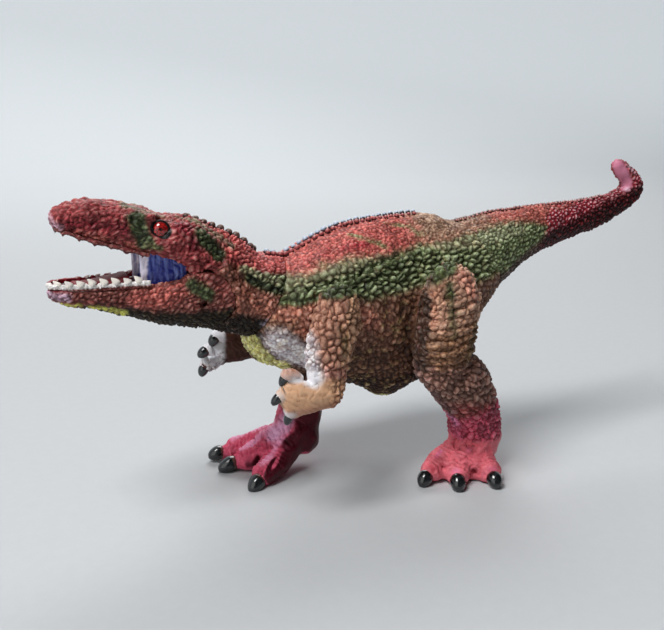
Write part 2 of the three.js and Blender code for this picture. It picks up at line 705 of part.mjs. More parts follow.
// Leg paths as shares: [along x and up z of the hip height, out of the thigh's thickness, half sizes].
const leftLeg = {
  thighShares: [
    [-0.01, 0.12, 0.25, 0.1, 0.12],
    [-0.015, 0.22, 0.2, 0.38, 0.31],
    [-0.03, 0.32, 0.09, 0.56, 0.42],
    [-0.06, 0.4, -0.08, 0.62, 0.44],
    [-0.08, 0.42, -0.2, 0.6, 0.45],
    [-0.08, 0.42, -0.31, 0.55, 0.4],
    [-0.06, 0.43, -0.4, 0.4, 0.28],
    [-0.05, 0.43, -0.45, 0.15, 0.12],
  ],
  shankShares: [
    [-0.1, 0.48, -0.2, 0.2, 0.12],
    [-0.075, 0.46, -0.26, 0.46, 0.34],
    [0.005, 0.38, -0.37, 0.55, 0.42],
    [0.1, 0.22, -0.48, 0.58, 0.4],
    [0.185, 0.02, -0.6, 0.6, 0.38],
    [0.22, -0.08, -0.7, 0.63, 0.385],
    [0.23, -0.1, -0.8, 0.65, 0.4],
    [0.22, -0.1, -0.9, 0.55, 0.37],
    [0.215, -0.1, -0.96, 0.22, 0.17],
  ],
  heelShare: [0.26, -0.42, -0.9],
  webShare: 0.8,
  rootShare: [0.18, -0.1, -0.865],
  toeShares: [
    { knuckle: [-0.03, 0.08, -0.925], tip: [-0.115, 0.2, -0.942], nail: [-0.8, 0.55, -0.3], nailShare: 1 },
    { knuckle: [0.045, 0.42, -0.925], tip: [0, 0.66, -0.942], nail: [-0.42, 0.88, -0.2], nailShare: 1 },
    { knuckle: [0.2, 0.5, -0.92], tip: [0.19, 0.9, -0.94], nail: [-0.2, 0.96, -0.2], nailShare: 1 },
  ],
};
const rightLeg = {
  thighShares: [
    [0.02, 0.12, 0.25, 0.1, 0.12],
    [0.01, 0.22, 0.2, 0.38, 0.33],
    [-0.03, 0.32, 0.09, 0.55, 0.46],
    [-0.12, 0.42, -0.06, 0.58, 0.47],
    [-0.22, 0.47, -0.17, 0.54, 0.44],
    [-0.3, 0.48, -0.27, 0.49, 0.38],
    [-0.37, 0.46, -0.35, 0.36, 0.28],
    [-0.41, 0.44, -0.39, 0.14, 0.12],
  ],
  shankShares: [
    [-0.27, 0.5, -0.17, 0.16, 0.12],
    [-0.32, 0.47, -0.24, 0.44, 0.34],
    [-0.41, 0.32, -0.37, 0.5, 0.35],
    [-0.52, 0.08, -0.5, 0.52, 0.33],
    [-0.62, -0.2, -0.61, 0.54, 0.32],
    [-0.67, -0.4, -0.7, 0.54, 0.34],
    [-0.71, -0.55, -0.78, 0.52, 0.35],
    [-0.74, -0.62, -0.84, 0.24, 0.18],
  ],
  heelShare: [-0.675, -0.57, -0.82],
  webShare: 0.2,
  rootShare: [-0.74, -0.6, -0.8],
  toeShares: [
    { knuckle: [-0.88, -1, -0.915], tip: [-0.986, -1.293, -0.94], nail: [-0.66, -0.42, -0.45], nailShare: 1.15 },
    { knuckle: [-0.94, -0.38, -0.91], tip: [-1.02, -0.25, -0.938], nail: [-0.93, 0.1, -0.2], nailShare: 1.5 },
    { knuckle: [-0.94, 0.16, -0.9], tip: [-1.025, 0.43, -0.938], nail: [-0.97, 0.14, -0.05], nailShare: 1.5 },
  ],
};

// A leg in the hip's frame, which the floor lies under by the hip height.
function legBody(side, { thighShares, shankShares, heelShare, webShare, rootShare, toeShares }) {
  const place = ([x, out, z]) => [x * hipHeight, side * (torso.hipPlane + out * thigh.thickness), z * hipHeight];
  const path = (shares) =>
    shares.map(([x, out, z, across, depth]) => [
      ...place([x, out, z]),
      across * thigh.thickness,
      depth * thigh.depth,
    ]);
  const node = (share, half) => [...place(share), half, half];
  const mid = (a, b) => a.map((value, i) => (value + b[i]) / 2);
  const toes = toeShares.flatMap(({ knuckle, tip, nail: way, nailShare }) => {
    const root = node(rootShare, toe.root);
    const joint = node(knuckle, toe.knuckle);
    const end = node(tip, toe.radius);
    const rounded = end.map((value, i) => value + (i < 3 ? (end[i] - joint[i]) * 0.3 : -toe.radius * 0.5));
    return [
      solid(muscle([root, mid(root, joint), joint, end, rounded], SIDES.digit + 1)),
      nail(
        point(...end.slice(0, 3)),
        point(way[0], side * way[1], way[2]),
        toe.radius / 2 + nailShare * toe.nail,
        toe.nailRadius,
      ),
    ];
  });
  const webs = toeShares.slice(1).map(({ knuckle, tip }, i) => {
    const joint = mid(node(knuckle, toe.knuckle), node(toeShares[i].knuckle, toe.knuckle));
    const front = mid(node(tip, toe.web), node(toeShares[i].tip, toe.web));
    const reach = joint.map((value, axis) => value + (front[axis] - value) * webShare);
    return solid(muscle([node(rootShare, toe.root), joint, reach], SIDES.digit));
  });
  const heel = new THREE.SphereGeometry(toe.root, SIDES.digit, SIDES.digit);
  heel.translate(...place(heelShare));
  const flesh = joined(
    solid(muscle(path(thighShares))),
    solid(muscle(path(shankShares))),
    solid(heel),
    ...webs,
    ...toes,
  );
  const face = block(
    point(-thigh.depth, Math.min(side * (torso.hipPlane + gap), 0), -thigh.depth),
    point(thigh.depth, Math.max(side * (torso.hipPlane + gap), 0), thigh.depth),
  );
  const floor = beyond(point(0, 0, toe.sole - hipHeight), point(0, 0, -1), hipHeight * 4);
  const hubEdge = torso.hipPlane + thigh.thickness * 0.4;
  return joined(cut(flesh, face, floor), limbPeg(side, torso.hipPlane, hubEdge, thigh.hub, thigh));
}

// Colours and finishes of the painted vinyl, the pin and the eyes.
const finish = {
  skin: new THREE.MeshStandardMaterial({ color: 0xa8564c, roughness: 0.55, metalness: 0 }),
  limb: new THREE.MeshStandardMaterial({ color: 0xb98a68, roughness: 0.55, metalness: 0 }),
  lining: new THREE.MeshStandardMaterial({ color: 0x3448b4, roughness: 0.3, metalness: 0 }),
  tongue: new THREE.MeshStandardMaterial({ color: 0x8e1c22, roughness: 0.4, metalness: 0 }),
  gum: new THREE.MeshStandardMaterial({ color: 0x6a4444, roughness: 0.5, metalness: 0 }),
  teeth: new THREE.MeshStandardMaterial({ color: 0xe9e2d6, roughness: 0.4, metalness: 0 }),
  eye: new THREE.MeshStandardMaterial({ color: 0x8c1210, roughness: 0.1, metalness: 0 }),
  steel: new THREE.MeshStandardMaterial({ color: 0xb9bcc0, roughness: 0.3, metalness: 1 }),
};

function piece(name, made, material) {
  const mesh = new THREE.Mesh(geometryOf(made), material);
  mesh.name = name;
  return mesh;
}

// A group that carries the pieces that turn together, placed at their pivot.
function carrier(name, at, ...held) {
  const group = new THREE.Group();
  group.name = name;
  group.position.copy(at);
  group.add(...held);
  return group;
}

const lowerJawGroup = carrier(
  "jaw",
  hinge,
  piece("lower_jaw", lowerJaw(), finish.skin),
  piece("tongue", tongueBody(), finish.tongue),
  piece("lower_teeth", lowerTeeth(0), finish.teeth),
);
const headGroup = carrier(
  "head",
  neckSeat,
  piece("head_and_neck", headAndNeck(), finish.skin),
  piece("jaw_pin", bar(point(hinge.x, -jawPin.length / 2, hinge.z), point(hinge.x, jawPin.length / 2, hinge.z), jawPin.radius, SIDES.limb), finish.steel),
  piece("mouth_lining", mouthLining(), finish.lining),
  piece("upper_teeth", upperTeeth(0), finish.gum),
  piece("left_eye", eyeball(-1, 0), finish.eye),
  piece("right_eye", eyeball(1, 0), finish.eye),
  lowerJawGroup,
);
const leftArmGroup = carrier("left_shoulder", shoulder, piece("left_arm", armBody(-1, leftFingerShares), finish.limb));
const rightArmGroup = carrier("right_shoulder", shoulder, piece("right_arm", armBody(1, rightFingerShares), finish.limb));
rightArmGroup.rotation.y = rightArmLift;

const body = carrier(
  "body",
  point(0, 0, hipHeight - toe.sole),
  piece("torso_shell", torsoShell(), finish.skin),
  headGroup,
  carrier("tail", tailSeat, piece("tail", tailBody(), finish.skin)),
  leftArmGroup,
  rightArmGroup,
  carrier("left_hip", point(0, 0, 0), piece("left_leg", legBody(-1, leftLeg), finish.limb)),
  carrier("right_hip", point(0, 0, 0), piece("right_leg", legBody(1, rightLeg), finish.limb)),
);

// The origin is the middle of the figure's footprint, on the floor.
const figure = new THREE.Group();
figure.add(body);
figure.updateMatrixWorld(true);
const extent = new THREE.Box3().setFromObject(figure, true);
const middle = extent.getCenter(new THREE.Vector3());
figure.position.set(-middle.x, -middle.y, -extent.min.z);

export default figure;
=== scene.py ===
"""Looks of the toy dinosaur figure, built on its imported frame.

Each moulded part of the figure is a class: it takes a copy of its solid, remeshes it, carves the
muscles, creases and scales into it, and lays the coats of paint on it as masks that its finish
reads. Lengths are in millimetres until a mesh is written, and +Z is up, with the head at -X.
"""

import json
import logging
import math
from dataclasses import dataclass, field
from enum import Enum
from typing import ClassVar, Iterable, Sequence

import bpy
import numpy as np
from mathutils import Matrix, Vector
from mathutils.bvhtree import BVHTree
from mathutils.kdtree import KDTree

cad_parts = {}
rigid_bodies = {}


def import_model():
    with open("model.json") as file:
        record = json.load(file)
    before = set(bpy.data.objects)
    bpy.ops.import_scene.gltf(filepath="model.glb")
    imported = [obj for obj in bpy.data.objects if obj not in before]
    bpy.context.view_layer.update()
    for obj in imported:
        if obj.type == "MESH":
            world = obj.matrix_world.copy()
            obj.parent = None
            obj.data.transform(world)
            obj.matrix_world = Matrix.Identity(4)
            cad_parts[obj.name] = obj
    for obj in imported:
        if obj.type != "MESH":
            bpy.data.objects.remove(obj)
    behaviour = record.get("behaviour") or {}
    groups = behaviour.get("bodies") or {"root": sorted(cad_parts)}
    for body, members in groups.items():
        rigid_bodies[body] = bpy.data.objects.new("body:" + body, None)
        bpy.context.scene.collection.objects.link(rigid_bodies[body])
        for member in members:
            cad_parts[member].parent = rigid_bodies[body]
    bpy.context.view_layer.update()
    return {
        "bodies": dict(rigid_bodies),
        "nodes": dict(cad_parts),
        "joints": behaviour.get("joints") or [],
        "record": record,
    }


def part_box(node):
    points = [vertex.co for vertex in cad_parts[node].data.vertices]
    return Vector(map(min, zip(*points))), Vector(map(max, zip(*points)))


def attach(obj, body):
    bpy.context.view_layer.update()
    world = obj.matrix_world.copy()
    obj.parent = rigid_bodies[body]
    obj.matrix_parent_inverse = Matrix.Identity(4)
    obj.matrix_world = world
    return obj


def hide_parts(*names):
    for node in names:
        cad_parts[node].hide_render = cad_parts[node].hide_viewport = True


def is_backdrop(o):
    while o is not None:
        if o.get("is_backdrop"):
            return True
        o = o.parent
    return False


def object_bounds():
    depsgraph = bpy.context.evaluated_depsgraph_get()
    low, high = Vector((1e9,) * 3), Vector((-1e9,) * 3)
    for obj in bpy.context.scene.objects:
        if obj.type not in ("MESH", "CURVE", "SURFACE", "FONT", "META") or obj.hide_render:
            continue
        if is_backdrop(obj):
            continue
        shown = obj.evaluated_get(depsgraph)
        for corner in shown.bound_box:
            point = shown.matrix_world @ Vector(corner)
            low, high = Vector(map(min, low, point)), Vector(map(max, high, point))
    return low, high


log = logging.getLogger("dinosaur")

MM = 0.001

# The camera that was fitted to the photograph: its size and focal length in pixels, and its place.
PHOTO_WIDTH = 664
FOCAL_PIXELS = 865
SENSOR = 36.0
CAMERA_PLACE = (-0.114139, -0.207028, 0.1086)
CAMERA_TURN = (math.radians(75), 0, math.radians(-25))

Point = tuple[float, float, float]
Tint = int
Line = tuple[Point, ...]
Array = np.ndarray
Profile = tuple[tuple[float, float], ...]
Obj = bpy.types.Object
Mesh = bpy.types.Mesh
Material = bpy.types.Material

# Directions: the head is at the front.
UP, DOWN, FRONT, REAR = (0, 0, 1), (0, 0, -1), (-1, 0, 0), (1, 0, 0)


class Flank(Enum):
    """Which side of the figure a limb is on, as the sign of its Y."""

    LEFT = -1
    RIGHT = 1


class How(Enum):
    """How two areas are put together."""

    BOTH = "both"
    EITHER = "either"
    WITHOUT = "without"


# Numbers over a surface.


def between(one: Point, two: Point, share: float) -> Point:
    """The place at a share of the way from one point to another."""
    return tuple((1 - share) * a + share * b for a, b in zip(one, two))


def ease(value: Array) -> Array:
    """A smooth step from 0 to 1 as value goes from 0 to 1."""
    t = np.clip(value, 0, 1)
    return t * t * (3 - 2 * t)


def chain_reach(co: Array, points: Sequence[Point]) -> tuple[Array, Array]:
    """How far each place is from a chain of points, and how far along the chain its foot is.

    Args:
        co: Places, one row each.
        points: The chain, one point or more.

    Returns:
        Distance and run along the chain, both in millimetres.
    """
    chain = np.array(points, float).reshape(-1, 3)
    best = np.linalg.norm(co - chain[0], axis=1)
    run = np.zeros(len(co))
    start = 0.0
    for a, b in zip(chain[:-1], chain[1:]):
        step = b - a
        length = float(np.linalg.norm(step))
        t = np.clip((co - a) @ step / (length * length), 0, 1)
        gap = np.linalg.norm(co - a - t[:, None] * step, axis=1)
        nearer = gap < best
        best = np.where(nearer, gap, best)
        run = np.where(nearer, start + t * length, run)
        start += length
    return best, run


def murmur(co: Array, pitch: float, seed: int, waves: int = 14) -> Array:
    """Soft irregular swells over space, about -1 to 1.

    Args:
        co: Places, one row each.
        pitch: The swells' typical length in millimetres.
        seed: Which pattern.
        waves: How many waves are added up.

    Returns:
        The swells' height at each place.
    """
    rng = np.random.default_rng(seed)
    ways = rng.normal(size=(waves, 3))
    ways *= (2 * math.pi / pitch * rng.uniform(0.6, 1.5, waves) / np.linalg.norm(ways, axis=1))[:, None]
    turns = rng.uniform(0, 2 * math.pi, waves)
    return np.sin(co @ ways.T + turns).sum(1) / math.sqrt(waves) / 1.2


@dataclass
class Surface:
    """The places and normals that fields are read at."""

    co: Array
    no: Array
    middle: float

    @property
    def folded(self) -> Array:
        """The places with the right flank laid over the left one."""
        out = self.co.copy()
        out[:, 1] = self.middle - np.abs(out[:, 1] - self.middle)
        return out


class Area:
    """An area of the surface, as a cover from 0 to 1. Areas combine with &, | and -."""

    def cover(self, at: Surface) -> Array:
        """The cover at each place."""
        raise NotImplementedError

    def __and__(self, other: "Area") -> "Area":
        """Where both are."""
        return Blend(self, other, How.BOTH)

    def __or__(self, other: "Area") -> "Area":
        """Where either is."""
        return Blend(self, other, How.EITHER)

    def __sub__(self, other: "Area") -> "Area":
        """Where this is and the other isn't."""
        return Blend(self, other, How.WITHOUT)


@dataclass(frozen=True)
class Blend(Area):
    """Two areas put together."""

    one: Area
    two: Area
    how: How

    def cover(self, at: Surface) -> Array:
        """The two covers, combined."""
        a, b = self.one.cover(at), self.two.cover(at)
        return {How.BOTH: a * b, How.EITHER: np.maximum(a, b), How.WITHOUT: a * (1 - b)}[self.how]


@dataclass(frozen=True)
class Faint(Area):
    """An area at a share of its strength."""

    area: Area
    share: float

    def cover(self, at: Surface) -> Array:
        """The area's cover times the share."""
        return self.share * self.area.cover(at)


@dataclass(frozen=True)
class Stroke(Area):
    """A stroke along a chain of points. A folded one is on both flanks."""

    points: Line
    reach: float
    soft: float = 1.0
    strength: float = 1.0
    folded: bool = True

    def cover(self, at: Surface) -> Array:
        """Full within the reach, fading over the soft edge."""
        gap, _ = chain_reach(at.folded if self.folded else at.co, self.points)
        return self.strength * ease((self.reach + self.soft - gap) / (2 * self.soft))


def spot(points: Line, reach: float, soft: float, strength: float = 1.0) -> Stroke:
    """A stroke where its points are, and not on the other flank."""
    return Stroke(points, reach, soft, strength, False)


@dataclass(frozen=True)
class Midline(Stroke):
    """A stroke whose points have their Y from the middle plane."""

    def cover(self, at: Surface) -> Array:
        """As a stroke's."""
        gap, _ = chain_reach(at.co - (0, at.middle, 0), self.points)
        return ease((self.reach + self.soft - gap) / (2 * self.soft))


@dataclass(frozen=True)
class Level(Area):
    """All above, or below, a line drawn on the side view as (x, z) points."""

    line: Profile
    soft: float = 1.0
    above: bool = True

    def cover(self, at: Surface) -> Array:
        """Half on the line, full past the soft edge."""
        xs, zs = np.array(self.line, float).T
        height = at.co[:, 2] - np.interp(at.co[:, 0], xs, zs)
        return ease(0.5 + (height if self.above else -height) / (2 * self.soft))


@dataclass(frozen=True)
class Facing(Area):
    """All that faces a direction, as a cosine from start to full."""

    way: Point
    start: float
    full: float

    def read(self, at: Surface) -> Array:
        """What is measured along the direction."""
        return at.no

    def cover(self, at: Surface) -> Array:
        """From none at start to all at full."""
        way = np.array(self.way, float)
        way /= np.linalg.norm(way)
        return ease((self.read(at) @ way - self.start) / (self.full - self.start))


@dataclass(frozen=True)
class Along(Facing):
    """All past a place along a direction, in millimetres from start to full."""

    def read(self, at: Surface) -> Array:
        """The places."""
        return at.co


@dataclass(frozen=True)
class Swell:
    """A swelling, or with a negative height a crease, along a chain of points."""

    points: Line
    reach: float
    height: float
    folded: bool = True

    def lift(self, at: Surface) -> Array:
        """The lift at each place, a bell across the chain."""
        gap, _ = chain_reach(at.folded if self.folded else at.co, self.points)
        return self.height * np.exp(-((gap / self.reach) ** 2))


@dataclass(frozen=True)
class Folds:
    """Wrinkles across a chain of points."""

    points: Line
    reach: float
    pitch: float
    depth: float
    soft: float = 1.5
    bow: float = 0.0
    folded: bool = False
    where: Area | None = None
    stray: float = 0.45

    def lift(self, at: Surface) -> Array:
        """Rounded rolls with sharp grooves between them.

        Args:
            at: The surface.

        Returns:
            The lift in millimetres.
        """
        co = at.folded if self.folded else at.co
        gap, run = chain_reach(co, self.points)
        stray = self.stray * (murmur(at.co, self.pitch * 3, 5) + 0.4 * murmur(at.co, self.pitch, 6))
        phase = (run + self.bow * gap) / self.pitch + stray
        roll = np.abs(np.sin(math.pi * phase)) ** 0.55
        cover = ease((self.reach + self.soft - gap) / (2 * self.soft))
        if self.where is not None:
            cover = cover * self.where.cover(at)
        return -self.depth * (1 - roll) * cover


@dataclass(frozen=True)
class Scales:
    """A kind of scaly hide: the size and relief of its scales, and how they lie."""

    size: float
    relief: float
    lie: Point = (1, 0, 0)
    stretch: float = 1.0
    where: Area | None = None
    keel: float = 0.0


@dataclass(frozen=True)
class Coat:
    """One coat of paint: its tint, where it lies, and how ragged its edge is."""

    name: str
    tint: Tint
    where: Area
    ragged: float = 0.35
    tip: Tint | None = None


# Work on meshes.


def only(*objs: Obj) -> None:
    """Selects these objects alone, the first one active."""
    if bpy.context.object and bpy.context.object.mode != "OBJECT":
        bpy.ops.object.mode_set(mode="OBJECT")
    bpy.ops.object.select_all(action="DESELECT")
    for o in objs:
        o.select_set(True)
    bpy.context.view_layer.objects.active = objs[0]


def apply_modifier(obj: Obj, kind: str, **settings: object) -> None:
    """Adds a modifier with these settings and applies it.

    Args:
        obj: The object.
        kind: The modifier's type.
        **settings: Its settings.
    """
    only(obj)
    bpy.ops.object.modifier_add(type=kind)
    modifier = obj.modifiers[-1]
    for key, value in settings.items():
        setattr(modifier, key, value)
    bpy.ops.object.modifier_apply(modifier=modifier.name)


def places(mesh: Mesh) -> Array:
    """A mesh's vertices in millimetres."""
    out = np.empty(len(mesh.vertices) * 3)
    mesh.vertices.foreach_get("co", out)
    return out.reshape(-1, 3) / MM


def normals(mesh: Mesh) -> Array:
    """A mesh's vertex normals."""
    out = np.empty(len(mesh.vertices) * 3)
    mesh.vertices.foreach_get("normal", out)
    return out.reshape(-1, 3)


def put(mesh: Mesh, co: Array) -> None:
    """Writes the vertices back, from millimetres."""
    mesh.vertices.foreach_set("co", (co * MM).astype(np.float32).ravel())
    mesh.update()


def keep(mesh: Mesh, name: str, values: Array) -> None:
    """Keeps a number at each vertex as an attribute."""
    attribute = mesh.attributes.get(name) or mesh.attributes.new(name, "FLOAT", "POINT")
    attribute.data.foreach_set("value", values.astype(np.float32))


def blur(mesh: Mesh, values: Array, rounds: int) -> Array:
    """Spreads a number over the mesh, half to the neighbours in each round.

    Args:
        mesh: The mesh.
        values: Numbers at its vertices.
        rounds: How many rounds.

    Returns:
        The spread numbers.
    """
    ends = np.empty(len(mesh.edges) * 2, np.int64)
    mesh.edges.foreach_get("vertices", ends)
    a, b = ends[::2], ends[1::2]
    count = np.bincount(a, minlength=len(values)) + np.bincount(b, minlength=len(values))
    out = values.astype(float)
    for _ in range(rounds):
        total = np.bincount(a, out[b], len(out)) + np.bincount(b, out[a], len(out))
        out = 0.5 * out + 0.5 * total / np.maximum(count, 1)
    return out


def copy_of(source: Obj, name: str) -> Obj:
    """A free copy of an object with its own mesh, at the origin, its doubles merged.

    Args:
        source: The object.
        name: The copy's name.

    Returns:
        The copy.
    """
    made = bpy.data.objects.new(name, source.data.copy())
    made.data.name = name
    bpy.context.scene.collection.objects.link(made)
    made.data.materials.clear()
    only(made)
    bpy.ops.object.mode_set(mode="EDIT")
    bpy.ops.mesh.select_all(action="SELECT")
    bpy.ops.mesh.remove_doubles(threshold=1e-6)
    bpy.ops.object.mode_set(mode="OBJECT")
    return made


def join(name: str, parts: Sequence[Obj]) -> Obj:
    """Joins objects into one with this name, its place in its mesh.

    Args:
        name: The whole's name.
        parts: The objects.

    Returns:
        The whole.
    """
    only(*parts)
    if len(parts) > 1:
        bpy.ops.object.join()
    bpy.ops.object.transform_apply(location=True, rotation=True, scale=True)
    made = bpy.context.view_layer.objects.active
    made.name = made.data.name = name
    return made


def placed(model: Obj, matrix: Matrix, name: str) -> Obj:
    """A copy of a small model with its own mesh, moved by a matrix.

    Args:
        model: The model.
        matrix: Its place.
        name: The copy's name.

    Returns:
        The copy.
    """
    made = bpy.data.objects.new(name, model.data.copy())
    made.data.transform(matrix)
    bpy.context.scene.collection.objects.link(made)
    return made


def aim(way: Vector, up: Vector = Vector((0, 0, 1))) -> Matrix:
    """A turn that lays a model's +Z along a direction, its +Y as near up as can be.

    Args:
        way: The direction.
        up: What counts as up.

    Returns:
        The turn.
    """
    z = way.normalized()
    x = up.cross(z)
    x = x.normalized() if x.length > 1e-4 else Vector((1, 0, 0))
    return Matrix((x, z.cross(x), z)).transposed().to_4x4()


# Scales keep this share of their radius clear of other seeds, and are felt within this many radii.
CLEAR, FELT = 0.72, 1.75

# The scale's height that bare skin is painted as.
BARE = 0.8


def sow_scales(at: Surface, shown: Array, kinds: Sequence[Scales], seed: int) -> dict[str, Array]:
    """Lays scales over the shown places, sized and turned by the kinds of hide.

    Each scale has a seed place, and a place belongs to the scale whose seed is nearest in that
    scale's own stretched measure.

    Args:
        at: The surface.
        shown: Which places get scales.
        kinds: The kinds of hide, each laid over those before it.
        seed: Which sowing.

    Returns:
        The lift, the scale's height from 0 in a groove to 1 on top, and each scale's own tone.
    """
    count = len(at.co)
    measures = {name: np.zeros(count) for name in ("size", "relief", "keel", "stretch")}
    lie = np.zeros((count, 3))
    for kind in kinds:
        share = kind.where.cover(at) if kind.where else np.ones(count)
        for name, values in measures.items():
            values += (getattr(kind, name) - values) * share
        lie += (np.array(kind.lie, float) - lie) * share[:, None]
    size, relief, keel, stretch = measures.values()
    lie += 0.45 * np.stack([murmur(at.co, 8, seed + 40 + k) for k in range(3)], 1)
    lie -= (lie * at.no).sum(1)[:, None] * at.no
    lie /= np.linalg.norm(lie, axis=1)[:, None] + 1e-9
    index = np.flatnonzero(shown)
    co, no = at.co[index], at.no[index]
    pitch = float(size.mean())
    co = co + 0.2 * pitch * np.stack([murmur(co, 1.6 * pitch, seed + k) for k in range(3)], 1)
    tree = KDTree(len(index))
    for k, place in enumerate(co):
        tree.insert(place, k)
    tree.balance()
    rng = np.random.default_rng(seed)
    free = np.ones(len(index), bool)
    first, second = np.full(len(index), 9.0), np.full(len(index), 9.0)
    across, owner = np.zeros(len(index)), np.zeros(len(index), np.int64)
    for k in rng.permutation(len(index)):
        if not free[k]:
            continue
        i = index[k]
        root = math.sqrt(stretch[i])
        radius = size[i] * rng.uniform(0.72, 1.2)
        found = tree.find_range(co[k], radius * FELT * root)
        near = np.fromiter((f[1] for f in found), np.int64, len(found))
        near = near[no[near] @ no[k] > 0.1]
        step = co[near] - co[k]
        up = step @ no[k]
        run = step @ lie[i]
        side = np.sqrt(np.maximum((step * step).sum(1) - run * run - up * up, 0)) * root
        far = np.sqrt((run / root) ** 2 + side**2 + (1.5 * up) ** 2) / radius
        free[near[far < CLEAR]] = False
        closer = far < first[near]
        second[near] = np.where(closer, first[near], np.minimum(second[near], far))
        across[near] = np.where(closer, side / radius, across[near])
        owner[near] = np.where(closer, k, owner[near])
        first[near] = np.where(closer, far, first[near])
    edge = np.clip((second - first) * 1.9, 0, 1)
    dome = np.clip(1 - first**2 * 1.15, 0, 1)
    height = edge**0.75 * (0.35 + 0.65 * dome)
    ridge = np.exp(-((across / 0.25) ** 2)) * edge * dome
    tones = rng.uniform(0, 1, len(index))
    lift = relief[index] * ((height - 0.6) * (0.7 + 0.6 * tones[owner]) + keel[index] * (ridge - 0.3))
    out = {"lift": np.zeros(count), "pebble": np.full(count, BARE), "tone": np.full(count, 0.5)}
    out["lift"][index] = lift
    strength = np.clip(relief[index] / 0.25, 0, 1)
    out["pebble"][index] = 1 - (1 - np.clip(height + 0.5 * keel[index] * (ridge - 0.4), 0, 1)) * strength
    out["tone"][index] = tones[owner]
    return out


# Finishes.


def rgb(tint: Tint) -> tuple[int, ...]:
    """The red, green and blue of a tint, 0 to 255 each."""
    return tint >> 16, tint >> 8 & 255, tint & 255


def linear(tint: Sequence[int]) -> tuple[float, ...]:
    """Red, green and blue as written, as the colour that a material takes."""
    out = [c / 255 for c in tint]
    return (*(c / 12.92 if c <= 0.04045 else ((c + 0.055) / 1.055) ** 2.4 for c in out), 1.0)


class Wire:
    """A value in a material, with arithmetic."""

    def __init__(self, bench: "Bench", out: bpy.types.NodeSocket) -> None:
        """Wraps the output socket of a node on the bench."""
        self.bench, self.out = bench, out

    def _math(self, operation: str, *values: "Wire | float") -> "Wire":
        """The result of a Math node."""
        return self.bench.node("ShaderNodeMath", {"operation": operation}, *values)

    def __add__(self, other: "Wire | float") -> "Wire":
        """Sum."""
        return self._math("ADD", self, other)

    __radd__ = __add__

    def __sub__(self, other: "Wire | float") -> "Wire":
        """Difference."""
        return self._math("SUBTRACT", self, other)

    def __rsub__(self, other: float) -> "Wire":
        """Difference from a number."""
        return self._math("SUBTRACT", other, self)

    def __mul__(self, other: "Wire | float") -> "Wire":
        """Product."""
        return self._math("MULTIPLY", self, other)

    __rmul__ = __mul__

    def ramp(self, low: float, high: float, start: float = 0.0, end: float = 1.0) -> "Wire":
        """A smooth step from start to end as the value goes from low to high."""
        return self.bench.node(
            "ShaderNodeMapRange", {"interpolation_type": "SMOOTHSTEP"}, self, low, high, start, end
        )


class Bench:
    """The node tree of one material."""

    def __init__(self, name: str) -> None:
        """Starts a material with a Principled BSDF alone."""
        self.material = bpy.data.materials.new(name)
        self.material.use_nodes = True
        self.tree = self.material.node_tree
        self.tree.nodes.clear()
        self.shader = self.tree.nodes.new("ShaderNodeBsdfPrincipled")
        out = self.tree.nodes.new("ShaderNodeOutputMaterial")
        self.tree.links.new(self.shader.outputs[0], out.inputs[0])

    def node(
        self, kind: str, settings: dict[str, object], *values: object, out: int | str = 0, **named: object
    ) -> Wire:
        """Adds a node.

        Args:
            kind: The node's type.
            settings: Its own settings, set first.
            *values: What its inputs get in order: a Wire, a number or colour, or None to skip.
            out: Which output is wanted.
            **named: What its inputs get by name, with _ for a space.

        Returns:
            That output.
        """
        made = self.tree.nodes.new(kind)
        for key, value in settings.items():
            setattr(made, key, value)
        for slot, value in enumerate(values):
            self.feed(made.inputs[slot], value)
        for name, value in named.items():
            self.feed(made.inputs[name.replace("_", " ")], value)
        return Wire(self, made.outputs[out])

    def feed(self, socket: bpy.types.NodeSocket, value: object) -> None:
        """Links a Wire to a socket, or sets its value."""
        if isinstance(value, Wire):
            self.tree.links.new(value.out, socket)
        elif value is not None:
            socket.default_value = value

    def mix(self, one: object, two: object, share: "Wire | float", blend: str = "MIX") -> Wire:
        """Two colours mixed by a share.

        Args:
            one: A Wire or a tint.
            two: The other.
            share: The other's share.
            blend: The way of mixing.

        Returns:
            The colour.
        """
        one, two = (rgb(colour) if isinstance(colour, int) else colour for colour in (one, two))
        one, two = (linear(colour) if isinstance(colour, tuple) else colour for colour in (one, two))
        settings = {"data_type": "RGBA", "blend_type": blend, "clamp_factor": True}
        return self.node("ShaderNodeMix", settings, share, *[None] * 5, one, two, out=2)

    def spot(self) -> Wire:
        """The place on the piece."""
        return self.node("ShaderNodeTexCoord", {}, out="Object")

    def mark(self, name: str) -> Wire:
        """A number that the mesh keeps at its vertices."""
        return self.node("ShaderNodeAttribute", {"attribute_name": name}, out="Fac")

    def cloud(self, size: float, detail: float = 3.0, where: Wire | None = None) -> Wire:
        """Cloudy noise of this size in millimetres, 0 to 1."""
        scale = 1 / (size * MM)
        return self.node("ShaderNodeTexNoise", {}, where or self.spot(), Scale=scale, Detail=detail)

    def grains(self, size: float) -> Wire:
        """Cells of this size in millimetres: the distance from each one's middle."""
        return self.node("ShaderNodeTexVoronoi", {}, self.spot(), out="Distance", Scale=1 / (size * MM))

    def bump(self, height: Wire, deep: float) -> Wire:
        """A bump of this depth in millimetres."""
        return self.node("ShaderNodeBump", {}, Strength=1.0, Distance=deep * MM, Height=height)

    def finish(self, **sockets: object) -> Material:
        """Sets the shader's sockets by their names, with _ for a space."""
        for name, value in sockets.items():
            self.feed(self.shader.inputs[name.replace("_", " ")], value)
        return self.material


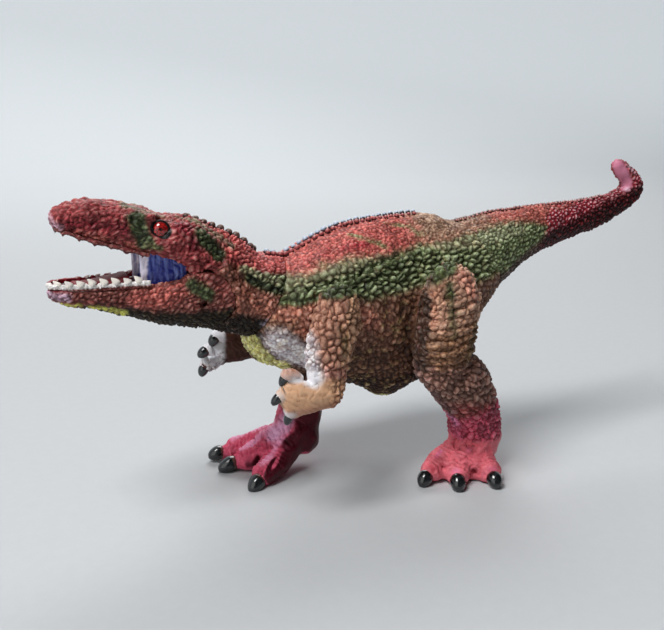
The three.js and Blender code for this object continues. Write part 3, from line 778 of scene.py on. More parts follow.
@dataclass(frozen=True)
class PaintedVinyl:
    """Painted vinyl hide: coats, darker grooves and lighter scale tops, partly paint and partly painted shade
    and highlight.
    """

    name: str
    base: Tint
    coats: tuple[Coat, ...]
    wash: float = 0.75
    brush: float = 0.5
    shine: float = 0.44

    def material(self) -> Material:
        """Builds the finish. The mesh keeps pebble, tone, wet, scaly and one mark for each coat.

        Returns:
            The material.
        """
        b = Bench(self.name)
        pebble, tone, wet, scaly = (b.mark(name) for name in ("pebble", "tone", "wet", "scaly"))
        ragged = b.cloud(2.4, 5) - 0.5
        speckle = b.cloud(0.5, 3) - 0.5
        patch = b.cloud(6, 4)
        grain = (1 - b.grains(0.85)).ramp(0.2, 0.85)
        spread = ragged * 2.0 + speckle * (0.2 + 0.4 * scaly) + (tone - 0.5) * scaly * 0.3
        mottle = ((tone - 0.5) * scaly * 0.7 + patch * 0.6 + 0.2).ramp(0.2, 0.8)
        colour = b.mix(tuple(int(c * 0.8) for c in rgb(self.base)), self.base, mottle)
        tips = b.mix(self.base, 0xFFE1CD, 0.38)
        for coat in self.coats:
            edge = (b.mark(coat.name) + spread * coat.ragged).ramp(0.1, 0.9)
            tint = rgb(coat.tint)
            light = tuple(min(255, int(c * 1.12 + 6)) for c in tint)
            dark = tuple(int(c * 0.82) for c in tint)
            colour = b.mix(colour, b.mix(dark, light, mottle), edge)
            tip = coat.tip or tuple(int(c + (255 - c) * 0.4) for c in tint)
            tips = b.mix(tips, tip, edge)
        # Darker in the grooves: partly the toy's dark paint in its hollows, partly painted shade.
        groove = (1 - pebble.ramp(0.0, 0.55)) * self.wash
        washed_and_shaded = b.mix(colour, b.mix(colour, 0x684842, 1.0, "MULTIPLY"), groove)
        washed_and_shaded = b.mix(b.mix(washed_and_shaded, 0xC4B4B0, 1.0, "MULTIPLY"), washed_and_shaded, grain * scaly + (1 - scaly))
        # Lighter on the scale tops: partly light paint on the tops, partly a painted highlight.
        brushed_and_lit = pebble.ramp(0.66, 0.98) * (speckle * 1.6 + 0.7) * self.brush * (0.35 + 0.9 * tone)
        colour = b.mix(washed_and_shaded, tips, brushed_and_lit * (1 - wet))
        fine = grain * scaly * 0.6 + b.cloud(0.32, 3) * 0.4
        rough = (self.shine + 0.14 * groove + speckle * 0.2) * (1 - wet) + 0.12 * wet
        return b.finish(
            Base_Color=colour, Roughness=rough, Specular_IOR_Level=0.22, Normal=b.bump(fine, 0.11)
        )


@dataclass(frozen=True)
class BlackLacquer:
    """Glossy black claw paint, thin and brownish at the root of the claw."""

    name: str = "claw_lacquer"

    def material(self) -> Material:
        """Builds the finish. The mesh keeps a mark named root, 1 where a claw leaves the flesh.

        Returns:
            The material.
        """
        b = Bench(self.name)
        thin = (b.mark("root") + (b.cloud(0.9, 3) - 0.5) * 0.5).ramp(0.55, 0.95)
        colour = b.mix(b.mix(0x0D0F11, 0x262A2E, b.cloud(1.6, 4).ramp(0.5, 0.85)), 0x603E38, thin)
        return b.finish(
            Base_Color=colour,
            Roughness=b.cloud(0.7, 3).ramp(0.3, 0.8, 0.14, 0.3),
            Specular_IOR_Level=0.5,
            Normal=b.bump(b.cloud(0.8, 3), 0.05),
            Coat_Weight=0.6,
            Coat_Roughness=0.05,
        )


@dataclass(frozen=True)
class Enamel:
    """White tooth paint with a stained foot, which on teeth marked all over is painted shade."""

    name: str = "tooth_enamel"
    tint: Tint = 0xECE5DA
    stain: Tint = 0x844642

    def material(self) -> Material:
        """Builds the finish. The mesh keeps a mark named foot, 1 where a tooth leaves the gum.

        Returns:
            The material.
        """
        b = Bench(self.name)
        foot = (b.mark("foot") + (b.cloud(0.8, 3) - 0.5) * 0.7).ramp(0.4, 1.1)
        colour = b.mix(b.mix(self.tint, 0xCEC6C4, b.cloud(1.5, 3).ramp(0.4, 0.8)), self.stain, foot * 0.75)
        return b.finish(
            Base_Color=colour, Roughness=b.cloud(0.6).ramp(0.2, 0.8, 0.28, 0.46),
            Normal=b.bump(b.cloud(0.5, 3), 0.04),
        )


@dataclass(frozen=True)
class GlossEye:
    """A lacquered eye: black rim, red iris with fine rays, and a dark middle."""

    name: str = "eye_gloss"

    def material(self) -> Material:
        """Builds the finish. The mesh keeps a mark named ring, the angle from the eye's axis.

        Returns:
            The material.
        """
        b = Bench(self.name)
        ring = b.mark("ring") + (b.cloud(0.5, 2) - 0.5) * 0.08
        red = b.mix(0x600608, 0xBE1E18, b.cloud(0.45, 3).ramp(0.35, 0.7))
        colour = b.mix(0x280305, red, ring.ramp(0.1, 0.3))
        rim = ring.ramp(0.78, 0.9)
        colour = b.mix(colour, 0x060404, rim)
        return b.finish(
            Base_Color=colour, Roughness=rim * 0.4 + 0.06, Specular_IOR_Level=0.25, Coat_Weight=1 - rim,
            Coat_Roughness=0.03,
        )


@dataclass(frozen=True)
class MouthPaint:
    """Wet-looking mouth paint with streaks along a direction and a lighter edge."""

    name: str
    deep: Tint
    light: Tint
    edge: Tint
    shine: float = 0.2
    streak: Point = (1.0, 1.0, 0.12)

    def material(self) -> Material:
        """Builds the finish. The mesh keeps a mark named rim, 1 on the lighter edge, and pebble.

        Returns:
            The material.
        """
        b = Bench(self.name)
        drawn = b.node("ShaderNodeVectorMath", {"operation": "MULTIPLY"}, b.spot(), self.streak)
        streaks = b.cloud(1.0, 4, drawn)
        colour = b.mix(self.deep, self.light, (streaks * 0.8 + b.mark("pebble") * 0.25).ramp(0.45, 0.85))
        rim = (b.mark("rim") + (b.cloud(1.2, 3) - 0.5) * 0.5).ramp(0.35, 0.75)
        colour = b.mix(colour, b.mix(self.edge, self.light, streaks.ramp(0.45, 0.8)), rim)
        return b.finish(
            Base_Color=colour, Roughness=b.cloud(1.5).ramp(0.2, 0.8, self.shine, self.shine + 0.18),
            Normal=b.bump(streaks, 0.12),
        )


@dataclass(frozen=True)
class CrestPaint:
    """Crest beads: dark near row, far row pale and bluish as painted light, with painted shade and highlight
    on each.
    """

    name: str
    near: Tint
    far: Tint

    def material(self) -> Material:
        """Builds the finish. The mesh keeps a mark named far and one named top, 1 on a bead's top.

        Returns:
            The material.
        """
        b = Bench(self.name)
        # The far row's pale bluish tint is painted light caught from behind.
        tint = b.mix(self.near, self.far, (b.mark("far") + (b.cloud(3, 3) - 0.5) * 0.8).ramp(0.35, 0.65))
        # Painted shade at each bead's foot and a painted highlight on its top.
        low = b.mix(tint, 0x5C4246, 1.0, "MULTIPLY")
        high = b.mix(tint, 0xF0DED6, 0.4)
        top = b.mark("top") + (b.cloud(0.5, 3) - 0.5) * 0.5
        colour = b.mix(b.mix(low, tint, top.ramp(0.1, 0.6)), high, top.ramp(0.7, 1.2))
        return b.finish(
            Base_Color=colour, Roughness=b.cloud(0.8, 3).ramp(0.2, 0.8, 0.3, 0.5),
            Normal=b.bump(b.cloud(0.35, 3), 0.08),
        )


@dataclass(frozen=True)
class Paper:
    """Studio paper, pale, that glows for the camera towards the back."""

    name: str = "floor_paper"

    def material(self) -> Material:
        """Builds the finish.

        Returns:
            The material.
        """
        b = Bench(self.name)
        grain = b.cloud(3, 3)
        rays = ("Is Camera Ray", "Is Glossy Ray", "Is Transmission Ray")
        direct, mirrored, through = (b.node("ShaderNodeLightPath", {}, out=ray) for ray in rays)
        seen = direct + mirrored + through
        depth = b.node("ShaderNodeSeparateXYZ", {}, b.spot(), out="Y").ramp(0.1, 1.2)
        return b.finish(
            Base_Color=b.mix(0xBEC1C4, 0xC3C6C8, grain),
            Roughness=0.8,
            Normal=b.bump(grain, 0.02),
            Emission_Color=b.mix(0x000000, 0xBAC0C4, depth * seen),
            Emission_Strength=1.0,
        )


@dataclass(frozen=True)
class PinSteel:
    """Drawn steel of the hinge pin, its ends painted over with the cheeks."""

    name: str = "pin_steel"

    def material(self) -> Material:
        """Builds the finish. The mesh keeps a mark named painted, 1 on the pin's ends.

        Returns:
            The material.
        """
        b = Bench(self.name)
        drawn = b.node("ShaderNodeVectorMath", {"operation": "MULTIPLY"}, b.spot(), (1.0, 0.05, 1.0))
        lines = b.cloud(0.2, 3, drawn)
        return b.finish(
            Base_Color=b.mix(b.mix(0x96989B, 0xBEC0C4, lines), 0xAC5C54, b.mark("painted")),
            Metallic=1 - b.mark("painted"),
            Roughness=lines.ramp(0.2, 0.8, 0.26, 0.44),
            Normal=b.bump(lines, 0.01),
        )


# The moulded parts.

# How far above a vertex the look for another solid starts, and how near that solid makes a seam.
SEAM_START, SEAM_REACH = 0.3, 1.0

# The same for the torso's own wall, across its hollow.
WALL_START, WALL_REACH = 0.6, 200.0

# The pitch of soft lumps, and of the finer crumples between the scales.
LUMP_PITCH, CRUMPLE_PITCH = 5.5, 3.2

# How much less the fine forms are smoothed, and how many steps the weights are rounded to.
SPARED, WEIGHT_STEPS = 0.5, 10


@dataclass
class Yard:
    """What all parts share: the frame, its solids as one search tree, and the middle plane."""

    frame: dict
    tree: BVHTree
    low: Array
    high: Array
    middle: float
    claw: Obj | None = None
    tooth: Obj | None = None
    bead: Obj | None = None
    finishes: dict[str, Material] = field(default_factory=dict)

    @classmethod
    def of(cls, frame: dict) -> "Yard":
        """Measures the frame.


        Returns:
            The yard.
        """
        points, faces = [], []
        for name in sorted(frame["nodes"]):
            mesh = frame["nodes"][name].data
            start = len(points)
            points += [v.co / MM for v in mesh.vertices]
            faces += [[start + i for i in p.vertices] for p in mesh.polygons]
        low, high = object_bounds()
        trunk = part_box("tail")
        return cls(
            frame,
            BVHTree.FromPolygons(points, faces),
            np.array(low) / MM,
            np.array(high) / MM,
            (trunk[0].y + trunk[1].y) / 2 / MM,
        )

    def finish(self, kind: object) -> Material:
        """A finish's material, made once."""
        if kind.name not in self.finishes:
            self.finishes[kind.name] = kind.material()
        return self.finishes[kind.name]

    def inside(self, co: Array) -> Array:
        """The places held inside the solids' overall box."""
        return np.clip(co, self.low + 0.01, self.high - 0.01)

    def dress(self, obj: Obj, finish: object, body: str, slot: str, *nodes: str) -> Obj:
        """Shades a piece smooth, gives it its finish and settles it.

        Args:
            obj: The piece.
            finish: Its finish.
            body: Its body.
            slot: Its finish slot.
            *nodes: The CAD nodes that it replaces.

        Returns:
            The piece.
        """
        only(obj)
        bpy.ops.object.shade_smooth()
        obj.data.materials.clear()
        obj.data.materials.append(self.finish(finish))
        return self.settle(obj, body, slot, *nodes)

    def settle(self, obj: Obj, body: str, slot: str, *nodes: str) -> Obj:
        """Rides a finished piece on its body, hides the CAD nodes that it replaces and logs its triangles.

        Args:
            obj: The piece.
            body: Its body.
            slot: Not used.
            *nodes: The CAD nodes that it replaces.

        Returns:
            The piece.
        """
        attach(obj, body)
        if nodes:
            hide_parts(*nodes)
        faces = sum(len(p.vertices) - 2 for p in obj.data.polygons)
        log.info("%s on %s, %d triangles", obj.name, body, faces)
        return obj


@dataclass
class Hide:
    """A moulded part: a remeshed copy of its solid, carved, scaled and painted."""

    yard: Yard
    node: str
    body: str
    name: str
    slot: str
    voxel: float = 0.3
    rounds: int = 50
    seed: int = 1
    snug: float = 0.0
    lump: float = 0.2
    regain: float = 1.0

    # Muscles and creases, wrinkles, and the kinds of scaly hide, the first one everywhere.
    swells: ClassVar[tuple[Swell, ...]] = ()
    folds: ClassVar[tuple[Folds, ...]] = ()
    scales: ClassVar[tuple[Scales, ...]] = (Scales(1.6, 0.3),)

    # Where the hide has no scales, where small forms are kept, and where the paint is glossy.
    smooth: ClassVar[Area | None] = None
    fine: ClassVar[Area | None] = None
    wet: ClassVar[Area | None] = None

    def paint(self) -> "PaintedVinyl | MouthPaint":
        """The finish."""
        raise NotImplementedError

    def surface(self, mesh: Mesh) -> Surface:
        """What the areas are measured on."""
        return Surface(places(mesh), normals(mesh), self.yard.middle)

    def trim(self, co: Array) -> Array:
        """The places after the part's own trimming."""
        return co

    def hidden(self, mesh: Mesh) -> Array:
        """1 where a vertex faces another solid closely, as in a seam.

        Args:
            mesh: The mesh.

        Returns:
            1 in a seam, else 0.
        """
        co, no = places(mesh), normals(mesh)
        out = np.zeros(len(co))
        for i, (p, n) in enumerate(zip(co, no)):
            way = Vector(n)
            if self.yard.tree.ray_cast(Vector(p) + way * SEAM_START, way, SEAM_REACH)[0] is not None:
                out[i] = 1
        return out

    def thin(self, obj: Obj, hidden: Array) -> Array:
        """Leaves out detail that no one sees, none by default. Returns which vertices are hidden afterwards.
        """
        return hidden

    def bed(self, obj: Obj, hidden: Array) -> Array:
        """Smooths the solid's flats away and keeps its girth.

        Args:
            obj: The remeshed part.
            hidden: Which vertices lie in a seam and stay.

        Returns:
            How free each vertex is to move, from 0 in a seam to 1.
        """
        mesh = obj.data
        near = blur(mesh, hidden, 2)
        free = np.clip(1 - 1.3 * near, 0, 1) * (1 - hidden)
        rim = np.clip(2 * near, 0, 1) * (1 - hidden) + hidden
        before = places(mesh) + normals(mesh) * (self.snug * rim)[:, None]
        put(mesh, before)
        weight = free.copy()
        if self.fine is not None:
            weight *= 1 - SPARED * self.fine.cover(self.surface(mesh))
        group = obj.vertex_groups.new(name="free")
        for step in range(WEIGHT_STEPS + 1):
            which = np.flatnonzero(np.round(weight * WEIGHT_STEPS) == step)
            group.add(which.tolist(), step / WEIGHT_STEPS, "REPLACE")
        apply_modifier(obj, "SMOOTH", factor=0.5, iterations=self.rounds, vertex_group="free")
        obj.vertex_groups.clear()
        after, no = places(mesh), normals(mesh)
        lost = blur(mesh, ((before - after) * no).sum(1), self.rounds // 2)
        put(mesh, self.trim(after + no * (self.regain * lost * free)[:, None]))
        return free

    def mould(self) -> Obj:
        """Makes the part.

        Returns:
            The finished part.
        """
        obj = copy_of(self.yard.frame["nodes"][self.node], self.name)
        voxel = self.voxel * 1
        apply_modifier(obj, "REMESH", mode="VOXEL", voxel_size=voxel * MM, use_smooth_shade=True)
        hidden = self.thin(obj, self.hidden(obj.data))
        free = self.bed(obj, hidden)
        mesh = obj.data
        at = self.surface(mesh)
        lift = sum((s.lift(at) for s in self.swells), self.lump * murmur(at.co, LUMP_PITCH, self.seed))
        put(mesh, at.co + at.no * (lift * free)[:, None])
        at = self.surface(mesh)
        sown = sow_scales(at, free > 0.02, self.scales, self.seed)
        share = self.smooth.cover(at) if self.smooth is not None else np.zeros(len(free))
        crumple = np.abs(murmur(at.co, CRUMPLE_PITCH, self.seed + 20)) - 0.5
        lift = (sown["lift"] + self.lump * 0.9 * crumple) * (1 - share)
        sown["pebble"] += (BARE - sown["pebble"]) * share
        # Wrinkles also lower the scale height, so their grooves darken as painted shade.
        for fold in self.folds:
            roll = fold.lift(at)
            lift = lift + roll
            sown["pebble"] = np.minimum(sown["pebble"], 1 + roll / max(fold.depth, 1e-6) * 0.95)
        put(mesh, self.yard.inside(at.co + at.no * (lift * free)[:, None]))
        keep(mesh, "scaly", 1 - share)
        self.mark(obj, at, sown)
        return self.yard.dress(obj, self.paint(), self.body, self.slot, self.node)

    def mark(self, obj: Obj, at: Surface, sown: dict[str, Array]) -> None:
        """Keeps what the finish reads.

        Args:
            obj: The part.
            at: The surface.
            sown: What sow_scales gave.
        """
        mesh = obj.data
        keep(mesh, "pebble", sown["pebble"])
        keep(mesh, "tone", sown["tone"])
        keep(mesh, "wet", self.wet.cover(at) if self.wet else np.zeros(len(at.co)))
        for coat in self.paint().coats:
            keep(mesh, coat.name, coat.where.cover(at))


# Lines on the side view that several parts share, as (x, z), and the groove under the back.
CORAL_EDGE = (
    (-48, 66), (-42.7, 63.4), (-37, 62.2), (-31.7, 61.3), (-25.5, 62.5), (-17, 65), (-6, 64.8), (0, 65.4),
    (4.5, 66.9), (11, 66.8), (24.5, 69), (35.5, 70), (45, 69.6), (52, 68),
)
GREEN_FOOT = (
    (-46, 61.5), (-43, 59.5), (-37, 57), (-31.5, 56.4), (-24, 56), (-13.5, 54.2), (-4, 55), (2, 56), (8, 56),
    (20, 55), (27, 56), (34, 58), (40, 61), (48, 64.6), (52, 68),
)
GROOVE = (
    (-43.8, -8.2, 61.8), (-36, -9.6, 58), (-31, -10.6, 58.2), (-26.5, -11.4, 58.9), (-20.8, -12, 59.9),
    (-14.8, -11.8, 61.4), (-6.7, -10.2, 63.6), (1.2, -8.8, 65.3),
)

# The green's light lower half starts a little above the groove.
SAGE_FOOT = tuple((x, z + 0.3) for x, _, z in GROOVE) + ((6, 66.2), (12, 64.4), (24, 64.4), (36, 66))

RUST = 0xAA7A62
GREEN = 0x728256
SAGE = 0x9EA27A
SALMON = 0xDC927A
LIME = 0xD6DA68
LILAC = 0xF0ECF6
GREEN_TIP = 0xBAC8A0


def shifted(line: Profile, rise: float) -> Profile:
    """A side-view line moved up."""
    return tuple((x, z + rise) for x, z in line)


STRIPE = Level(GREEN_FOOT, 1.5) - Level(shifted(CORAL_EDGE, -2.5), 1.2)


@dataclass
class Torso(Hide):
    """The torso, with its stripe, its back and its belly."""

    def thin(self, obj: Obj, hidden: Array) -> Array:
        """Thins out the wall of the hollow, which faces itself.

        Args:
            obj: The part.
            hidden: Which vertices lie in a seam.

        Returns:
            The same after thinning.
        """
        mesh = obj.data
        co, no = places(mesh), normals(mesh)
        wall = BVHTree.FromPolygons(
            [v.co / MM for v in mesh.vertices], [list(p.vertices) for p in mesh.polygons]
        )
        centre = np.array([co[:, 0].mean(), self.yard.middle, 48.0])
        for i in np.flatnonzero(((co - centre) * no).sum(1) < 0):
            way = Vector(no[i])
            if wall.ray_cast(Vector(co[i]) + way * WALL_START, way, WALL_REACH)[0] is not None:
                hidden[i] = 2
        inner = hidden == 2
        keep(mesh, "hidden", hidden)
        group = obj.vertex_groups.new(name="inner")
        group.add(np.flatnonzero(inner).tolist(), 1.0, "REPLACE")
        apply_modifier(obj, "DECIMATE", ratio=1 - 0.9 * float(inner.mean()), vertex_group="inner")
        obj.vertex_groups.clear()
        kept = np.empty(len(obj.data.vertices), np.float32)
        obj.data.attributes["hidden"].data.foreach_get("value", kept)
        obj.data.attributes.remove(obj.data.attributes["hidden"])
        return (kept > 0.5).astype(float)

    # Shoulder blade, ribs, the groove under the back, and the belly's folds.
    swells = (
        Swell(GROOVE, 0.8, -0.9),
        Swell(tuple((x, y - 0.6, z - 2.2) for x, y, z in GROOVE[2:]), 1.4, 0.5),
        Swell(((-31, -11, 52), (-24, -13.5, 55)), 3.5, 0.5),
        Swell(((-12, -8, 64), (-4, -7, 67), (6, -5, 69)), 2.2, 0.3),
        Swell(((-30, -9, 60.5), (-20, -10, 62.5)), 1.6, 0.35),
        Swell(((-3, 0.6, 22.6), (1, 0.6, 22.8)), 2.4, 1.2),
    )

    # The flank's upright wrinkles.
    folds = (
        Folds(((-19, -14, 43), (-9, -14, 46), (1, -14, 42)), 8.5, 3.0, 0.85, 3.0, 0.12, True),
        Folds(((-38, -9, 54), (-34, -10, 47), (-31, -10, 40)), 4.5, 3.2, 0.5, 2.5, 0.3, True),
    )

    # Fine on the back, keeled and long along the stripe, round on the flank.
    scales = (
        Scales(2.0, 0.62, (0.25, 0, -1), 1.35),
        Scales(1.15, 0.4, (1, 0, 0.35), 1.3, Level(CORAL_EDGE, 1.5)),
        Scales(2.2, 1.0, (1, 0, 0.42), 1.75, STRIPE, 0.45),
        Scales(1.5, 0.45, (1, 0, 0.3), 1.2, Level(((-40, 30), (0, 26), (30, 36)), 3, False)),
        Scales(
            1.7, 0.13, (1, 0, -0.3), 1.5, Stroke(((-36, -7.5, 45), (-33, -9, 41), (-28, -9, 38)), 4.2, 2.0)
        ),
    )

    # Coral back, green stripe, tan flank, dark belly, and painted shade on the lower flank, belly, throat and
    # groove.
    back = Level(CORAL_EDGE, 2.8)
    stripe = Level(GREEN_FOOT, 3.0) - back
    bars = (
        Stroke(((-14, -4, 70.5), (-10, -6.5, 69), (-6, -8, 66.5)), 0.8, 1.4)
        | Stroke(((-27.5, -8, 66), (-23, -9, 63)), 1.4, 1.6)
        | Stroke(((-2, -2, 72), (4, -4, 70.5), (6, -6, 68.5)), 0.9, 1.8, 0.7)
    )
    coats = (
        # Painted shade on the lower flank and in front of the thigh.
        Coat(
            "flank_dark", 0x684836,
            Level(((-40, 47), (-20, 43), (-2, 40), (14, 48), (30, 54)), 9, False)
            | Stroke(((-2, -13, 54), (-2.5, -13, 46), (-1, -12, 38)), 3.0, 3.5),
            0.35, 0xB08060,
        ),
        # The belly's dark brown, darkened further as painted shade on the underside.
        Coat(
            "belly_dark", 0x2C180C, Level(((-40, 36), (-20, 33), (0, 30), (14, 38), (30, 46)), 4, False),
            0.3, 0x84603E,
        ),
        Coat(
            "shoulder", SALMON,
            Stroke(((-35, -10, 53), (-28, -13, 54.5), (-30, -12, 48)), 3.2, 3.0, 0.8)
            | Stroke(((-17, -14, 52), (-12, -14, 48)), 2.4, 2.8, 0.8),
            0.4,
        ),
        # The throat's dark olive, darkened further as painted shade under the neck.
        Coat("throat", 0x1E1408, Stroke(((-43, -2, 46), (-36, -6, 46.5)), 3.0, 2.5), 0.4, 0x544628),
        Coat(
            "chest_grey", 0xFAF6FE, Stroke(((-36, -7.5, 45), (-33, -9, 41), (-28, -9, 38)), 4.2, 2.6),
            0.3, 0xFCFAFF,
        ),
        Coat(
            "chest_lime", 0xE2E688,
            Stroke(((-42.5, -2, 43.5), (-39.5, -3, 39.5), (-35, -3, 36)), 3.8, 1.4)
            | Stroke(((-3, 1, 22.6), (-1, 0, 22.6)), 1.6, 0.8),
            0.9, 0xF4F4C4,
        ),
        Coat("green", 0x7C8C5E, stripe, 0.3, 0xC8D4AC),
        Coat(
            "green_dark", 0x52603A, Stroke(tuple((x, y - 1, z - 2.2) for x, y, z in GROOVE), 1.9, 1.8),
            0.4, 0xB0BE94,
        ),
        Coat("sage", SAGE, Level(SAGE_FOOT, 1.4), 0.45, 0xCED4AE),
        Coat("coral", 0xC8645E, back, 0.36, 0xE89C8C),
        Coat(
            "coral_deep", 0xA8343E,
            (
                Stroke(((-38, -6, 65), (-30, -7, 66), (-22, -7, 68)), 1.6, 2.0)
                | Stroke(((-18, -7, 67), (-8, -7, 68)), 1.2, 1.6, 0.7)
            )
            & back,
            0.7, 0xDE8282,
        ),
        Coat("rump", 0xAC8A72, Along(REAR, -3, 13) & back, 0.45, 0xDCC0AA),
        Coat("sage_bars", 0x86845C, bars & back, 0.7, 0xC0C29C),
        # Near-black along the groove under the back: painted shade in the groove.
        Coat("groove", 0x141C0E, Stroke(GROOVE, 0.6, 0.6), 0.2, 0x28381E),
    )

    def paint(self) -> PaintedVinyl:
        """The finish."""
        return PaintedVinyl("torso_paint", RUST, self.coats, brush=0.76)


